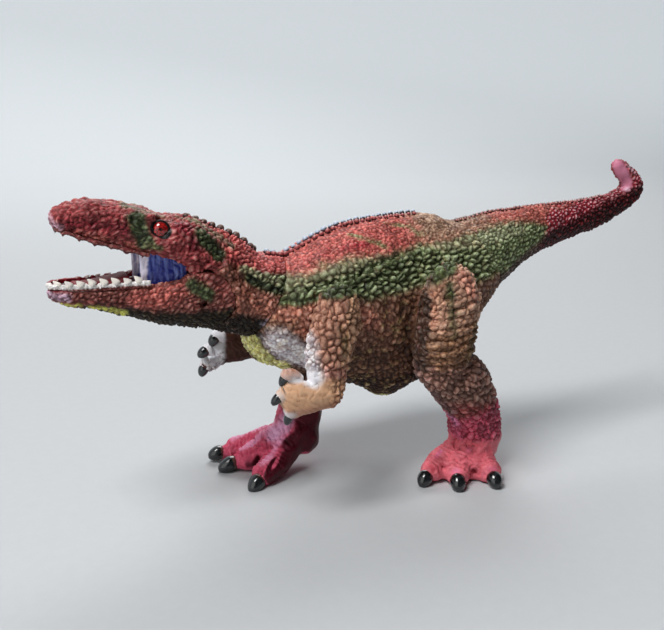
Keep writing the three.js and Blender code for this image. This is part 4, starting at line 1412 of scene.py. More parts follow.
@dataclass
class Head(Hide):
    """Skull, upper jaw and neck."""

    # The eye's seat.
    fine = Stroke(((-64.9, -6.4, 75.3),), 3.0, 1.0)

    # Brow, cheek and jaw muscles, nostril, eye socket and the neck's crease.
    swells = (
        Swell(((-68.5, -4.6, 78.2), (-64.5, -5.8, 77.9), (-60.5, -6.4, 76.0)), 1.4, 1.0),
        Swell(((-65, -7, 71.6), (-61.5, -7.2, 72.2)), 1.1, 0.5),
        Swell(((-58, -6.8, 73), (-54.5, -7, 72)), 2.2, 0.5),
        Swell(((-60, -7.4, 68.4), (-54, -7.8, 67), (-50.5, -8, 64.5)), 2.0, 0.5),
        Swell(((-61, -7.2, 70.4), (-56.5, -7.6, 70.2)), 0.9, -0.45),
        Swell(((-88.6, -2.0, 78.2), (-87.8, -2.4, 78.5)), 0.7, -0.6),
        Swell(((-88, 0, 80.6), (-80, -1, 81.8)), 2.0, 0.3),
        Swell(((-84, -3.4, 76.5), (-76, -4.4, 75), (-70, -5, 73)), 1.2, -0.4),
        Swell(((-85, -2.4, 79.4), (-77, -3.6, 79.6), (-72, -3.9, 78.4)), 1.0, 0.35),
        Swell(((-47.5, -7.4, 66), (-46.5, -8.3, 63.5), (-45, -8.8, 60.5), (-42, -9.3, 57)), 0.9, -0.9),
        Swell(((-49.5, -7.8, 64), (-48.5, -8.6, 60), (-46, -9, 56)), 1.8, 0.5),
        Swell(((-43.8, -8.2, 61.8), (-40, -9, 59.2), (-37, -9.6, 58)), 0.8, -0.7),
        Swell(((-41.5, -9.4, 55), (-39.5, -9.6, 51)), 0.8, -0.5),
    )

    # Creases round the corner of the jaw and along the snout.
    folds = (
        Folds(((-53, -8, 68), (-48, -8.6, 61), (-44, -9, 54)), 5.0, 3.2, 0.6, 2.5, 0.25, True),
        Folds(((-60, -7, 70), (-49, -8, 66)), 3.5, 3.0, 0.4, 2.0, 0.3, True),
        Folds(((-86, -3, 77), (-72, -4.6, 76)), 4.2, 2.7, 0.75, 1.8, 0.55, True, None, 0.7),
    )

    # Flowing wrinkled scales on the snout, round ones on the neck.
    scales = (
        Scales(1.9, 0.42, (1, 0, 0.3), 3.0),
        Scales(1.8, 0.7, (0.5, 0, 0.5), 1.4, Along(REAR, -63, -58)),
        Scales(1.7, 0.66, (-0.35, 0, 1), 1.6, Along(REAR, -52, -47)),
        Scales(1.9, 0.85, (1, 0, 0.3), 1.5, Level(GREEN_FOOT, 1.5) & Along(REAR, -48, -44), 0.3),
        Scales(1.25, 0.45, (1, 0, 0.35), 1.3, Level(CORAL_EDGE, 1.5) & Along(REAR, -46, -40)),
        Scales(1.5, 0.7, (1, 0, -0.2), 1.1, Level(((-60, 47), (-48, 49), (-36, 50)), 2, False)),
    )

    # The mouth's roof between the lips.
    palate = Midline(((-86, 0, 74.5), (-78, 0, 72), (-62, 0, 69)), 3.4, 0.8) & Facing(DOWN, 0.3, 0.6)

    # The eye socket and the mouth's roof.
    smooth = Stroke(((-65.6, -6.2, 75.3), (-64.4, -6.5, 74.7)), 1.9, 0.4) | palate

    # The black socket.
    wet = Stroke(((-65.6, -6.2, 75.3), (-64.4, -6.5, 74.7)), 2.1, 0.35, 0.4)

    # Dark red head with green patches, rust neck, and painted shade under the throat and in the neck's
    # crease.
    back = Level(CORAL_EDGE, 2.4)
    throat = Level(((-62, 48), (-52, 52), (-44, 53), (-36, 51)), 3.5, False)
    coats = (
        Coat("neck_rust", 0xA06654, Along(REAR, -56, -49) - back, 0.4),
        Coat(
            "ruby", 0x86202C,
            Stroke(((-60, -6, 75.5), (-57, -6.5, 74), (-57.5, -7, 71)), 1.8, 1.8)
            | Stroke(((-87, -2.2, 77), (-78, -3.8, 76.8), (-72, -4.6, 75)), 1.3, 2.0, 0.8),
            0.6, 0xE6969A,
        ),
        Coat(
            "cheek_rust", 0xB06254,
            Stroke(((-84, -3, 74.4), (-76, -4.2, 72.4), (-70, -5, 71)), 1.2, 1.8, 0.9), 0.5, 0xCE8A78,
        ),
        # The throat's dark olive, darkened further as painted shade under the neck.
        Coat("throat", 0x1A1004, throat, 0.35, 0x3E2E14),
        Coat("shoulder", SALMON, Stroke(((-42, -9, 54), (-36, -10, 53)), 2.6, 2.8, 0.7), 0.4),
        Coat("throat_lilac", 0x968C9C, Stroke(((-40, -9, 49), (-37.5, -8, 46)), 1.8, 1.6, 0.7), 0.4),
        Coat(
            "coral", 0xCA605C,
            Along(REAR, -53, -47) & Level(((-53, 69.5), (-46, 66.2), (-42.7, 63.8), (-36, 62)), 1.8),
            0.35, 0xEA9892,
        ),
        Coat(
            "green", 0x5C6A44,
            (Level(GREEN_FOOT, 1.8) - Level(shifted(CORAL_EDGE, -0.2), 1.4)) & Along(REAR, -47.5, -43.5),
            0.3, GREEN_TIP,
        ),
        Coat("sage", SAGE, Stroke(((-45, -7, 64), (-36, -9, 60.6)), 1.1, 1.5), 0.45, 0xBEC69E),
        Coat(
            "crown", 0x867E64,
            Stroke(((-71.5, -0.5, 81.2), (-67, -2.2, 80.4), (-62, -3.4, 79)), 1.7, 1.6)
            | Stroke(((-59, -1.5, 78), (-51, -3.5, 73.8), (-47, -4.5, 70.2)), 1.3, 1.4, 0.9),
            0.4, 0xB2AC92,
        ),
        Coat(
            "patches", 0x404C2E,
            Stroke(((-70.2, -4.4, 78), (-69.8, -5, 74.8), (-68.8, -5.2, 72)), 2.2, 1.3)
            | Stroke(((-55.4, -5.9, 72.8), (-53, -6.6, 71), (-51.4, -7, 69)), 2.3, 1.4),
            0.5, 0x929C74,
        ),
        Coat(
            "cheek_green", 0x747850,
            Stroke(((-68.5, -5.4, 71.3), (-65.5, -6, 70.8)), 0.9, 1.0)
            | Stroke(((-56, -7.8, 61), (-52, -8.4, 59)), 1.6, 1.6, 0.8),
            0.4, 0xB0B284,
        ),
        Coat(
            "lilac_tip", 0xDEB0C2, Stroke(((-90.2, 1.9, 79), (-89.8, 0, 77), (-88, -1.8, 75.4)), 1.6, 1.4),
            0.4, 0xF4DEEA,
        ),
        Coat(
            "lip_rose", 0xD4807A,
            Stroke(((-88, -1.8, 74.6), (-80, -3.6, 72.6), (-70, -5.2, 69.4), (-62, -7, 66.8)), 0.5, 0.7, 0.8),
            0.4,
        ),
        # Near-black in the neck's crease and the groove behind it: painted shade in the creases.
        Coat(
            "crease", 0x181C10,
            Stroke(((-47.5, -7.4, 66), (-46.5, -8.3, 63.5), (-45, -8.8, 60.5), (-42.5, -9.3, 57.5)), 0.5, 0.8)
            | Stroke(((-43.8, -8.2, 61.8), (-40, -9, 59.2), (-36, -9.6, 58)), 1.0, 0.8),
            0.3, 0x425030,
        ),
        Coat("palate", 0x682C32, palate, 0.1),
        Coat(
            "socket", 0x070606, Stroke(((-65.7, -6.1, 75.5), (-64.5, -6.5, 74.8)), 1.95, 0.4), 0.1, 0x140E0E
        ),
    )

    def paint(self) -> PaintedVinyl:
        """The finish."""
        return PaintedVinyl("head_paint", 0xB64E50, self.coats, brush=0.62)


@dataclass
class Jaw(Hide):
    """The lower jaw."""

    slot_half: float = 6.3
    slot_front: float = -71.5

    def hidden(self, mesh: Mesh) -> Array:
        """The slot that the cheek lining slips into counts as a seam.

        Args:
            mesh: The mesh.

        Returns:
            1 in a seam, else 0.
        """
        out = super().hidden(mesh)
        co, no = places(mesh), normals(mesh)
        aside = co[:, 1] - self.yard.middle
        slot = (
            (np.abs(aside) < self.slot_half)
            & (np.sign(aside) * no[:, 1] < -0.3)
            & (co[:, 0] > self.slot_front)
        )
        out[slot] = 1
        return out

    # The lip.
    fine = Facing(UP, 0.2, 0.6)

    # Cheek pouch and lip line.
    swells = (
        Swell(((-72, -5, 59.5), (-64, -6.5, 59.5), (-59, -7.2, 61)), 2.0, 0.5),
        Swell(((-86, -2.8, 60.2), (-76, -4.4, 59.2), (-70, -5.4, 58.6)), 0.8, -0.4),
        Swell(((-58.8, -7.6, 62), (-55.5, -7.9, 59)), 1.3, 0.35),
    )

    # Slanting creases at the cheek.
    folds = (Folds(((-72, -5, 57.5), (-60, -7, 59.5)), 3.2, 2.3, 0.3, 1.6, 0.6, True),)

    # Slanted long scales, beads underneath.
    scales = (
        Scales(1.6, 0.6, (1, 0, 0.5), 1.9),
        Scales(1.5, 0.75, REAR, 1.1, Level(((-90, 57), (-74, 55), (-60, 52)), 1.5, False)),
    )

    # The mouth's channel between the lips.
    smooth = Midline(((-88, 0, 60), (-76, 0, 60), (-58, 0, 61)), 4.4, 0.8) & Facing(UP, 0.3, 0.6)

    # Dusty red with lime under the chin, and dark olive under the jaw that is partly painted shade.
    coats = (
        Coat(
            "cheek", 0xC86C62, Stroke(((-71, -5.4, 58.8), (-64, -6.6, 59), (-59.5, -7.2, 61.2)), 2.4, 2.0),
            0.45, 0xEAB0A0,
        ),
        Coat(
            "front_dark", 0x783C36, Stroke(((-85, -3, 58.8), (-76, -4.4, 58)), 1.4, 1.4, 0.8), 0.5, 0xC48074
        ),
        # Dark olive under the jaw, darkened further as painted shade.
        Coat(
            "olive", 0x221808,
            Level(((-92, 57), (-82, 57.6), (-74, 56.6), (-66, 55), (-58, 54.6), (-48, 54.6)), 2.0, False),
            0.35, 0x4C3E1C,
        ),
        Coat(
            "chin_lime", LIME,
            Stroke(((-89, 1, 57.6), (-85, -1.5, 57.2)), 1.0, 0.9)
            | Stroke(((-81, -1.5, 56.8), (-77.5, -2.5, 55.8), (-74.5, -2.5, 55)), 1.3, 0.9),
            0.35, 0xE0E27C,
        ),
        Coat(
            "angle_rust", 0xAC5C54, Stroke(((-61, -7.4, 64), (-56, -7.9, 63.5), (-50, -8.4, 60)), 2.2, 2.0),
            0.4,
        ),
        Coat(
            "angle_green", 0x505C3A, Stroke(((-58.4, -7.6, 61.6), (-54.8, -7.9, 58.4)), 1.8, 1.6),
            0.55, 0xA0AA80,
        ),
        Coat(
            "lilac_tip", 0xC4A0B6, Stroke(((-91, 2, 61), (-89.4, -0.6, 60), (-87.5, -2.2, 60)), 1.2, 1.2),
            0.4, 0xE6D4E4,
        ),
        Coat(
            "lip", 0xCE969E, Stroke(((-68, -5.9, 62.2), (-63, -6.8, 63.6), (-59.5, -7.2, 65)), 0.4, 0.5),
            0.3, 0xE6CED8,
        ),
        Coat("floor", 0x680812, smooth, 0.1),
    )

    def paint(self) -> PaintedVinyl:
        """The finish."""
        return PaintedVinyl("jaw_paint", 0xA05A52, self.coats)


@dataclass
class Tail(Hide):
    """The tail."""

    # Slanted fine scales, wider towards the tip.
    scales = (
        Scales(1.5, 0.62, (0.8, 0, 0.55), 1.6),
        Scales(1.15, 0.42, (1, 0, 0.3), 1.3, Level(CORAL_EDGE, 1.2)),
        Scales(1.5, 0.55, (0.75, 0, 0.6), 1.6, Along(REAR, 48, 54)),
    )

    # The tail's turned-up end, on its front and side.
    smooth = spot(((79.5, 0, 84.8), (81.5, 0, 81.5), (83.3, 0, 78.5)), 2.3, 0.9)

    # The flap's hollow.
    swells = (Swell(((81.5, -1.2, 83), (83.5, -1.5, 80)), 1.1, -0.4),)

    # Coral above, green at the side, crimson towards the tip, and painted shade underneath.
    back = Level(CORAL_EDGE, 2.6)
    upper = Level(((40, 70.5), (60, 72.5), (76, 77), (90, 83)), 1.6)
    coats = (
        # Painted shade on the tail's underside.
        Coat("under_dark", 0x422E22, Level(((20, 53), (32, 58), (44, 61.5), (60, 65)), 2.5, False), 0.35),
        Coat("green", GREEN, Level(shifted(GREEN_FOOT, -1), 2.0) - back, 0.35, GREEN_TIP),
        Coat("sage", 0x929C76, Level(SAGE_FOOT, 1.6) & Along(FRONT, -46, -38), 0.5, 0xC8D0AC),
        Coat("coral", 0xBC645A, back, 0.4, 0xDE9686),
        Coat("root_rust", 0x98745C, back & Along(FRONT, -38, -26), 0.5, 0xCCAE9A),
        Coat("crimson", 0x982836, Along((1, 0, -0.25), 30, 35) - upper, 0.6, 0xF8CCD2),
        Coat("crimson_back", 0xAC3E42, Along(REAR, 52, 60) & upper, 0.4, 0xDE928E),
        # The crimson under the tail's end, darkened to painted shade.
        Coat(
            "under_crimson", 0x300206,
            Level(((44, 64), (60, 68.5), (74, 73.4), (90, 78)), 2.4, False) & Along(REAR, 44, 52),
            0.35, 0x8C3034,
        ),
        Coat("tip_pink", 0xBE7088, smooth, 0.2, 0xE09CB0),
        Coat(
            "tip_rim", 0xDCBED0,
            Stroke(((84, 0, 76.4), (87, 0, 78), (86, 0, 81.5), (83, 0, 85.6)), 0.7, 0.9, 0.7), 0.4, 0xEAD4E0,
        ),
    )

    def paint(self) -> PaintedVinyl:
        """The finish."""
        return PaintedVinyl("tail_paint", 0x78543E, self.coats, brush=0.8)


@dataclass(frozen=True)
class Talon:
    """A claw: where its digit ends, the way it points, its length and its radius."""

    root: Point
    way: Point
    length: float
    radius: float
    start: float = 0.8

    # How deep the claw model starts in the flesh, and how far it reaches past the solid's claw.
    SUNK, OVER = 0.6, 0.2

    # The skin's stump under the claw, in radii, and the soft edge where it starts.
    STUMP, EDGE = 0.55, 0.7

    # How many radii around the claw the skin is drawn in, and the share of it that isn't drawn back.
    AROUND, KEPT = 2.2, 0.6

    def grow(self, model: Obj, name: str) -> Obj:
        """A copy of the claw model in this place.

        Args:
            model: The claw model.
            name: The copy's name.

        Returns:
            The copy.
        """
        way = Vector(self.way).normalized()
        start = Vector(self.root) + way * (self.start - self.SUNK)
        long = self.length - self.start + self.SUNK + self.OVER
        scale = Matrix.Diagonal((self.radius * MM, self.radius * MM, long * MM, 1))
        return placed(model, Matrix.Translation(start * MM) @ aim(way) @ scale, name)

    def draw_in(self, co: Array) -> Array:
        """Draws the skin in, towards the claw's axis and back from its tip.

        Args:
            co: Places, one row each.

        Returns:
            The places, drawn in.
        """
        way = np.array(Vector(self.way).normalized())
        step = co - np.array(self.root)
        run = step @ way
        aside = step - run[:, None] * way
        far = np.linalg.norm(aside, axis=1) + 1e-9
        near = (far < self.radius * self.AROUND) * (run < self.length + 1)
        share = ease((run - self.start) / self.EDGE) * near
        wanted = np.minimum(far, self.radius * self.STUMP * np.clip(1.25 - run / self.length, 0.2, 1))
        back = 0.6 * np.maximum(run - self.KEPT * self.length, 0) * share
        return co + aside / far[:, None] * ((wanted - far) * share)[:, None] - way * back[:, None]


@dataclass
class Limb(Hide):
    """An arm or a leg with its claws."""

    flank: Flank = Flank.LEFT

    @classmethod
    def of(cls, yard: Yard, flank: Flank, kind: str, voxel: float, rounds: int, seed: int) -> "Limb":
        """The limb on this flank, with its names."""
        node = f"{flank.name.lower()}_{kind}"
        return cls(
            yard, node, f"{node}_body", f"{node}_skin", "limb_skin", voxel, rounds, seed, 0.08, flank=flank
        )

    def talons(self) -> tuple[Talon, ...]:
        """The claws."""
        raise NotImplementedError

    def lifted(self, points: Iterable[Point]) -> Line:
        """Points of the left limb laid on this one."""
        if self.flank is Flank.LEFT:
            return tuple(points)
        return tuple((x, 2 * self.yard.middle - y, z) for x, y, z in points)

    def dab(self, points: Line, reach: float, soft: float, strength: float = 1.0) -> Stroke:
        """A stroke of the left limb laid on this one."""
        return spot(self.lifted(points), reach, soft, strength)

    def trim(self, co: Array) -> Array:
        """Draws the skin in under the claws."""
        for talon in self.talons():
            co = talon.draw_in(co)
        return co

    def claws(self) -> Obj:
        """Makes the claws of the limb.

        Returns:
            All of them as one piece.
        """
        grown = [t.grow(self.yard.claw, f"{self.name}_claw_{i}") for i, t in enumerate(self.talons())]
        obj = join(self.name.replace("_skin", "_claws"), grown)
        put(obj.data, self.yard.inside(places(obj.data)))
        return self.yard.dress(obj, BlackLacquer(), self.body, self.slot)


# The shoulders' axis on the side view, and how far the right arm is turned forward about it.
SHOULDER_X, SHOULDER_Z = -23.457, 50.69
ARM_TURN = math.radians(8)


@dataclass
class Arm(Limb):
    """A bent arm with a palm and three fingers."""

    def lifted(self, points: Iterable[Point]) -> Line:
        """Points of the left arm laid on this one, which on the right is turned forward.

        Args:
            points: Points of the left arm.

        Returns:
            The points.
        """
        if self.flank is Flank.LEFT:
            return tuple(points)
        out = []
        for x, y, z in super().lifted(points):
            dx, dz = x - SHOULDER_X, z - SHOULDER_Z
            ahead = SHOULDER_X + math.cos(ARM_TURN) * dx + math.sin(ARM_TURN) * dz
            out.append((ahead, y, SHOULDER_Z - math.sin(ARM_TURN) * dx + math.cos(ARM_TURN) * dz))
        return tuple(out)

    @property
    def fine(self) -> Area | None:
        """The fingers."""
        return self.dab(((-46, -19, 34.5), (-38, -19, 34)), 7.5, 1.5)

    @property
    def swells(self) -> tuple[Swell, ...]:
        """Elbow, palm and the crease at the wrist."""
        fingers = tuple(
            Swell((t.root, (t.root[0] - 3 * t.way[0], t.root[1], t.root[2])), 1.8, 0.5, False)
            for t in self.talons()
        )
        return fingers + (
            Swell(self.lifted(((-27, -21, 35.5), (-26, -22, 33))), 1.8, 0.6, False),
            Swell(self.lifted(((-31, -22, 36.5), (-29.5, -23, 33))), 0.8, -0.35, False),
            Swell(self.lifted(((-28.5, -21, 44), (-24.5, -22.5, 42))), 0.9, -0.5, False),
            Swell(self.lifted(((-30, -20.5, 50), (-29, -21.5, 45))), 1.8, 0.4, False),
        )

    # Large cobbles on the shoulder, smaller ones down the arm.
    scales = (
        Scales(2.5, 0.85, (0.3, 0, 1), 1.25),
        Scales(2.1, 0.7, REAR, 1.2, Along(DOWN, -42, -38)),
    )

    @property
    def smooth(self) -> Area | None:
        """The hand."""
        return self.dab(((-42, -19, 34.5), (-34, -20.5, 33.5)), 6.5, 1.5)

    @property
    def folds(self) -> tuple[Folds, ...]:
        """Fine creases over the back of the hand."""
        return (Folds(self.lifted(((-38, -20, 30), (-33, -22, 36))), 6.0, 1.5, 0.2, 1.5, 0.4),)

    def paint(self) -> PaintedVinyl:
        """Salmon shoulder, tan hand, pale fingers and inner side, with painted light and shade on the hand.

        Returns:
            The finish.
        """
        name = self.name.replace("skin", "paint")
        front = self.dab(((-29.5, -17, 46), (-31, -18.5, 41), (-32, -19.5, 38)), 3.3, 1.8)
        inner = Facing((0, -self.flank.value, 0), 0.2, 0.7) & Along(DOWN, -46, -40)
        fingers = (
            self.dab(((-38.5, -18.6, 38.8), (-36, -19, 37.3)), 1.6, 0.9)
            | self.dab(((-40.5, -18.9, 33.9), (-38, -19, 33.6)), 1.5, 0.9, 0.8)
            | self.dab(((-38.3, -19.3, 29.3), (-35.5, -19.3, 30.8)), 1.7, 0.9)
        )
        coats = (
            Coat("tan", 0xC29676, Along((1, 0, -0.2), -34.5, -32) - Along(DOWN, -42, -38), 0.5, 0xD8B89E),
            Coat("rose", 0xCE8C7E, self.dab(((-28.5, -21, 39), (-26.5, -22, 37)), 2.5, 2.0, 0.8), 0.4),
            Coat("hand", 0xD0A07C, self.dab(((-39, -20, 34), (-27, -22, 34)), 3.8, 1.8), 0.3, 0xE4CAAE),
            # Painted shade along the hand's lower rear edge.
            Coat(
                "hand_dark", 0xA06E54,
                self.dab(((-34, -22, 29.6), (-31, -23, 30), (-26, -23, 31.5)), 1.2, 2.6, 0.9), 0.4,
            ),
            Coat("pale", LILAC, front | inner | fingers, 0.3, 0xEAE6F2),
            Coat(
                "stripe", 0x485432, Along(UP, 55.6, 58.4) & Facing((0, self.flank.value, 1), -0.2, 0.3),
                0.5, 0x92A278,
            ),
            Coat(
                "armpit", 0x704E3A,
                self.dab(((-20.5, -16, 56), (-20, -17, 49), (-21, -18, 43)), 1.6, 2.2, 0.8), 0.5,
            ),
            Coat(
                "elbow_olive", 0x7C643E,
                self.dab(((-25.5, -21, 50), (-24, -22, 46), (-24.5, -22.5, 43)), 1.2, 1.6, 0.8), 0.5,
            ),
        )
        if self.flank is Flank.RIGHT:
            coats = coats + (
                # The far hand's pale paint, lighter on the side that faces up as painted light.
                Coat(
                    "top_pale", LILAC, (Facing(UP, 0.2, 0.7) | Along(FRONT, 42.5, 44)) & Along(FRONT, 33, 36),
                    0.3, 0xEEEAF4,
                ),
                # Painted shade on the far palm's side that faces down and in.
                Coat(
                    "palm_brown", 0x3A1E14,
                    Facing((0, -1, -0.3), 0.1, 0.6) & Along(FRONT, 28, 32) & Along(REAR, -43.5, -40.5),
                    0.3, 0x8C6450,
                ),
            )
        return PaintedVinyl(name, 0xCE967C, coats, brush=0.45)

    def talons(self) -> tuple[Talon, ...]:
        """The three finger claws."""
        if self.flank is Flank.LEFT:
            return (
                Talon((-38.7, -18.6, 39.0), (-0.57, 0.05, -0.82), 3.1, 1.25, 0.4),
                Talon((-40.2, -18.9, 33.9), (-0.86, 0.05, -0.51), 3.1, 1.3, 0.4),
                Talon((-38.0, -19.3, 29.1), (-0.49, 0.05, -0.87), 3.1, 1.2, 0.5),
            )
        return (
            Talon((-43.8, 21.8, 38.8), (-0.75, -0.05, -0.66), 3.1, 1.65, 0.3),
            Talon((-46.4, 22.5, 34.8), (-0.96, -0.05, -0.27), 3.1, 1.65, 0.3),
            Talon((-46.9, 23.4, 29.8), (-0.65, -0.05, -0.75), 3.1, 1.6, 0.3),
        )


@dataclass
class Leg(Limb):
    """A leg with a three-toed foot."""

    def toe_lines(self) -> tuple[Line, ...]:
        """The middle lines of the toes, from the ankle."""
        if self.flank is Flank.LEFT:
            root = (20.1, -11.5, 9.5)
            return (
                (root, (9.6, -14.2, 3.6), (5.3, -15.5, 2.6)),
                (root, (13.3, -18.1, 3.6), (11.1, -20.9, 2.6)),
                (root, (21.0, -19.0, 3.7), (20.6, -23.7, 2.7)),
            )
        root = (-25.9, 10.2, 12.0)
        return (
            (root, (-32.9, 5.6, 4.2), (-38.2, 2.2, 2.6)),
            (root, (-35.9, 12.8, 4.4), (-39.9, 14.3, 2.8)),
            (root, (-35.9, 19.0, 4.8), (-40.2, 22.2, 2.8)),
        )

    @property
    def fine(self) -> Area | None:
        """The toes."""
        out: Area = spot(self.toe_lines()[0][1:], 4.5, 1.5, 0.8)
        for line in self.toe_lines()[1:]:
            out = out | spot(line[1:], 4.5, 1.5, 0.8)
        return out

    @property
    def swells(self) -> tuple[Swell, ...]:
        """Thigh folds, knee and the toes' backs."""
        toes = tuple(Swell((line[1], line[2]), 3.0, 0.3, False) for line in self.toe_lines())
        if self.flank is Flank.RIGHT:
            return toes + (
                Swell(((-31.8, 9.1, 10.2), (-33.6, 9.3, 8), (-36.8, 8.6, 3.4)), 0.9, -1.4, False),
                Swell(((-32.4, 14.6, 10.2), (-34.2, 15.9, 8), (-37.8, 18.2, 3.6)), 0.9, -1.4, False),
                Swell(((-28, 3.6, 13), (-33.5, 2.4, 7.4), (-37, 0.6, 4)), 0.7, -0.7, False),
                Swell(((-28, 7.5, 16.5), (-33, 5.4, 9.5)), 1.3, 0.4, False),
                Swell(((-28.5, 11.5, 16.5), (-34, 12.8, 9.5)), 1.3, 0.4, False),
            )
        return toes + (
            Swell(((15, -14.2, 9), (11.6, -16, 5.6), (8.6, -17.4, 3)), 0.9, -1.1, False),
            Swell(((18.4, -17, 8.6), (17.2, -19.6, 5.4), (16.2, -21.8, 3)), 0.9, -1.1, False),
            Swell(((22, -15.5, 8.8), (22.6, -18, 5.6), (23.6, -20.6, 3)), 0.7, -0.6, False),
            Swell(((8, -22, 44.2), (14, -22, 43.6)), 0.6, -0.4, False),
            Swell(((17, -21.5, 34), (20.5, -20, 30)), 2.4, 0.6, False),
            Swell(((3.5, -21.5, 31.5), (8, -22, 28)), 2.2, 0.35, False),
            Swell(((4.9, -20, 60), (5.4, -23.4, 53), (5.2, -24.4, 47)), 0.9, -0.5, False),
        )

    @property
    def scales(self) -> tuple[Scales, ...]:
        """Large rounded scales on the thigh, rows at its foot, cobbles on the shank."""
        return (
            Scales(2.4, 0.9, (1, 0, 0.1), 1.45),
            Scales(2.1, 0.5, (1, 0, 0.05), 1.8, Along(DOWN, -52, -48) - Along(DOWN, -37, -34)),
            Scales(2.4, 0.95, (1, 0, -0.6), 1.35, Along(DOWN, -35, -32)),
            Scales(1.8, 0.7, REAR, 1.1, Along(DOWN, -19, -15)),
            Scales(1.1, 0.4, (0.3, 1, 0), 1.6, self.foot()),
        )

    @property
    def smooth(self) -> Area | None:
        """The foot, where the scales are faint."""
        return Faint(self.foot(), 0.88)

    def foot(self) -> Area:
        """The foot up to the ankle.

        Returns:
            The area.
        """
        top = 11.2 if self.flank is Flank.LEFT else 19.0
        foot: Area = Along(DOWN, -top, 1.6 - top)
        for line in self.toe_lines():
            foot = foot | spot(line, 4.2, 0.8)
        return foot - Along(UP, top + 1.3, top + 3.3)

    @property
    def folds(self) -> tuple[Folds, ...]:
        """Wrinkles across each toe, and rows of creases at the thigh's foot.

        Returns:
            The folds.
        """
        up = Facing((0, 0.4 * self.flank.value, 1), -0.2, 0.25)
        (ankle, _, _), (_, knuckle, _), _ = self.toe_lines()
        toes = tuple(
            Folds((between(line[0], line[1], 0.45),) + line[1:], 4.7, 1.4, 0.75, 1.2, 0.2, False, up, 0.3)
            for line in self.toe_lines()
        )
        shin = (between(ankle, knuckle, -0.6), between(ankle, knuckle, 0.55))
        if self.flank is Flank.LEFT:
            rows = Folds(((6, -24, 54), (7, -24, 46), (9, -24, 34)), 9.0, 2.5, 1.15, 3.0, 0.1, stray=0.16)
        else:
            rows = Folds(((0, 24, 54), (-3, 24, 47), (-6, 24, 34)), 9.0, 2.6, 1.0, 3.0, 0.1, stray=0.16)
        return toes + (Folds(shin, 7.0, 2.0, 0.6, 1.5, 0.2, False, up, 0.5), rows)

    # The near leg's shank and foot, with painted highlights on the toes and painted shade between them.
    near = (
        Coat("olive_rear", 0x866E46, spot(((13, -22, 46), (12.5, -23, 38)), 2.2, 2.4, 0.8), 0.5),
        Coat("shank_grey", 0x967062, Along((0.1, 0, -1), -38, -32), 0.45, 0xCCAC9C),
        Coat("shank_brown", 0x964A46, Along(DOWN, -28, -20), 0.45, 0xCE8C84),
        Coat(
            "shank_front", 0x745A56, spot(((1, -17, 35), (5, -18, 28), (10, -17, 22)), 2.6, 2.4, 0.9),
            0.4, 0x9C8C90,
        ),
        Coat("ankle_maroon", 0xD0546E, Along((0.25, 0, -1), -18, -11), 0.45, 0xE292A2),
        Coat(
            "ankle_lilac", 0xE496C4, spot(((11.2, -14.5, 16.5), (12.2, -15.5, 11.5)), 2.8, 2.0),
            0.45, 0xF2C8E4,
        ),
        Coat("foot", 0xE46A76, Along(DOWN, -12.4, -9.0), 0.3, 0xFAA6B0),
        Coat(
            "foot_side", 0xB0424E,
            spot(((5, -17.4, 4.3), (8.5, -16.4, 6.2)), 1.8, 1.8, 0.9)
            | spot(((22, -15, 6), (24, -19, 4)), 1.0, 1.6, 0.6),
            0.4,
        ),
        # Pink on the toes' ridges and round the claws' roots: partly paint, partly painted highlight on the
        # ridges.
        Coat(
            "foot_pink", 0xD86896,
            spot(((17, -17.5, 8), (11, -21, 4.2)), 0.8, 1.2, 0.9)
            | spot(((5, -15.5, 4.6), (10, -14, 7.5)), 0.7, 1.0, 0.8)
            | spot(((11.6, -20.4, 3.0),), 2.6, 0.8, 0.9)
            | spot(((20.5, -23.0, 3.0),), 2.6, 0.8, 0.9),
            0.3, 0xF4A8C8,
        ),
        # Painted shade between the toes and along the sole.
        Coat(
            "clefts", 0x7C182C,
            spot(((14, -15, 7.5), (8.6, -17.4, 2.6)), 0.5, 1.0, 0.9)
            | spot(((18, -17.6, 8), (16.2, -21.8, 2.6)), 0.5, 1.0, 0.8)
            | Along(DOWN, -1.8, 0.4),
            0.3,
        ),
    )

    # The far leg's shank and foot, with painted highlights on the toes and painted shade between and under
    # them.
    far = (
        Coat("shank_brown", 0x785448, Along(DOWN, -34, -26), 0.45),
        Coat("ankle_maroon", 0x7C2236, Along(DOWN, -26, -20), 0.45, 0xCE788C),
        Coat("foot", 0xCE4664, Along(DOWN, -20, -16), 0.3, 0xFAA0B8),
        # Pink along the toes' ridges, whitened as painted highlight.
        Coat(
            "foot_pink", 0xFC8EB2,
            spot(((-29.5, 6, 13.5), (-37.4, 3.4, 6.0)), 1.4, 1.1)
            | spot(((-30.5, 12, 12.5), (-39, 14.2, 6.0)), 1.6, 1.2)
            | spot(((-31.5, 17, 11.5), (-39, 21.8, 6.0)), 1.8, 1.4),
            0.4, 0xFFD8E8,
        ),
        Coat("foot_lilac", 0xFFA8CE, spot(((-27.5, 7, 18), (-31.5, 9, 11)), 2.8, 2.6, 0.9), 0.5, 0xFFDCEC),
        # Painted shade on the far foot's side that faces in and at its heel.
        Coat(
            "foot_dark", 0x400210,
            Facing((0.35, -1, 0.05), 0.5, 0.9) & Along(DOWN, -22, -18)
            | spot(((-22, 3, 17), (-27.5, 2, 10), (-31, 1.5, 5)), 2.6, 2.4),
            0.35, 0x96243C,
        ),
        # Painted shade between the toes.
        Coat(
            "clefts", 0x680E26,
            spot(((-31, 8.9, 11), (-33.6, 9.3, 8), (-37, 8.2, 2.6)), 0.5, 0.9, 0.9)
            | spot(((-31.6, 14, 11), (-34.2, 15.9, 8), (-38, 18.2, 2.6)), 0.5, 0.9, 0.9),
            0.3,
        ),
    )

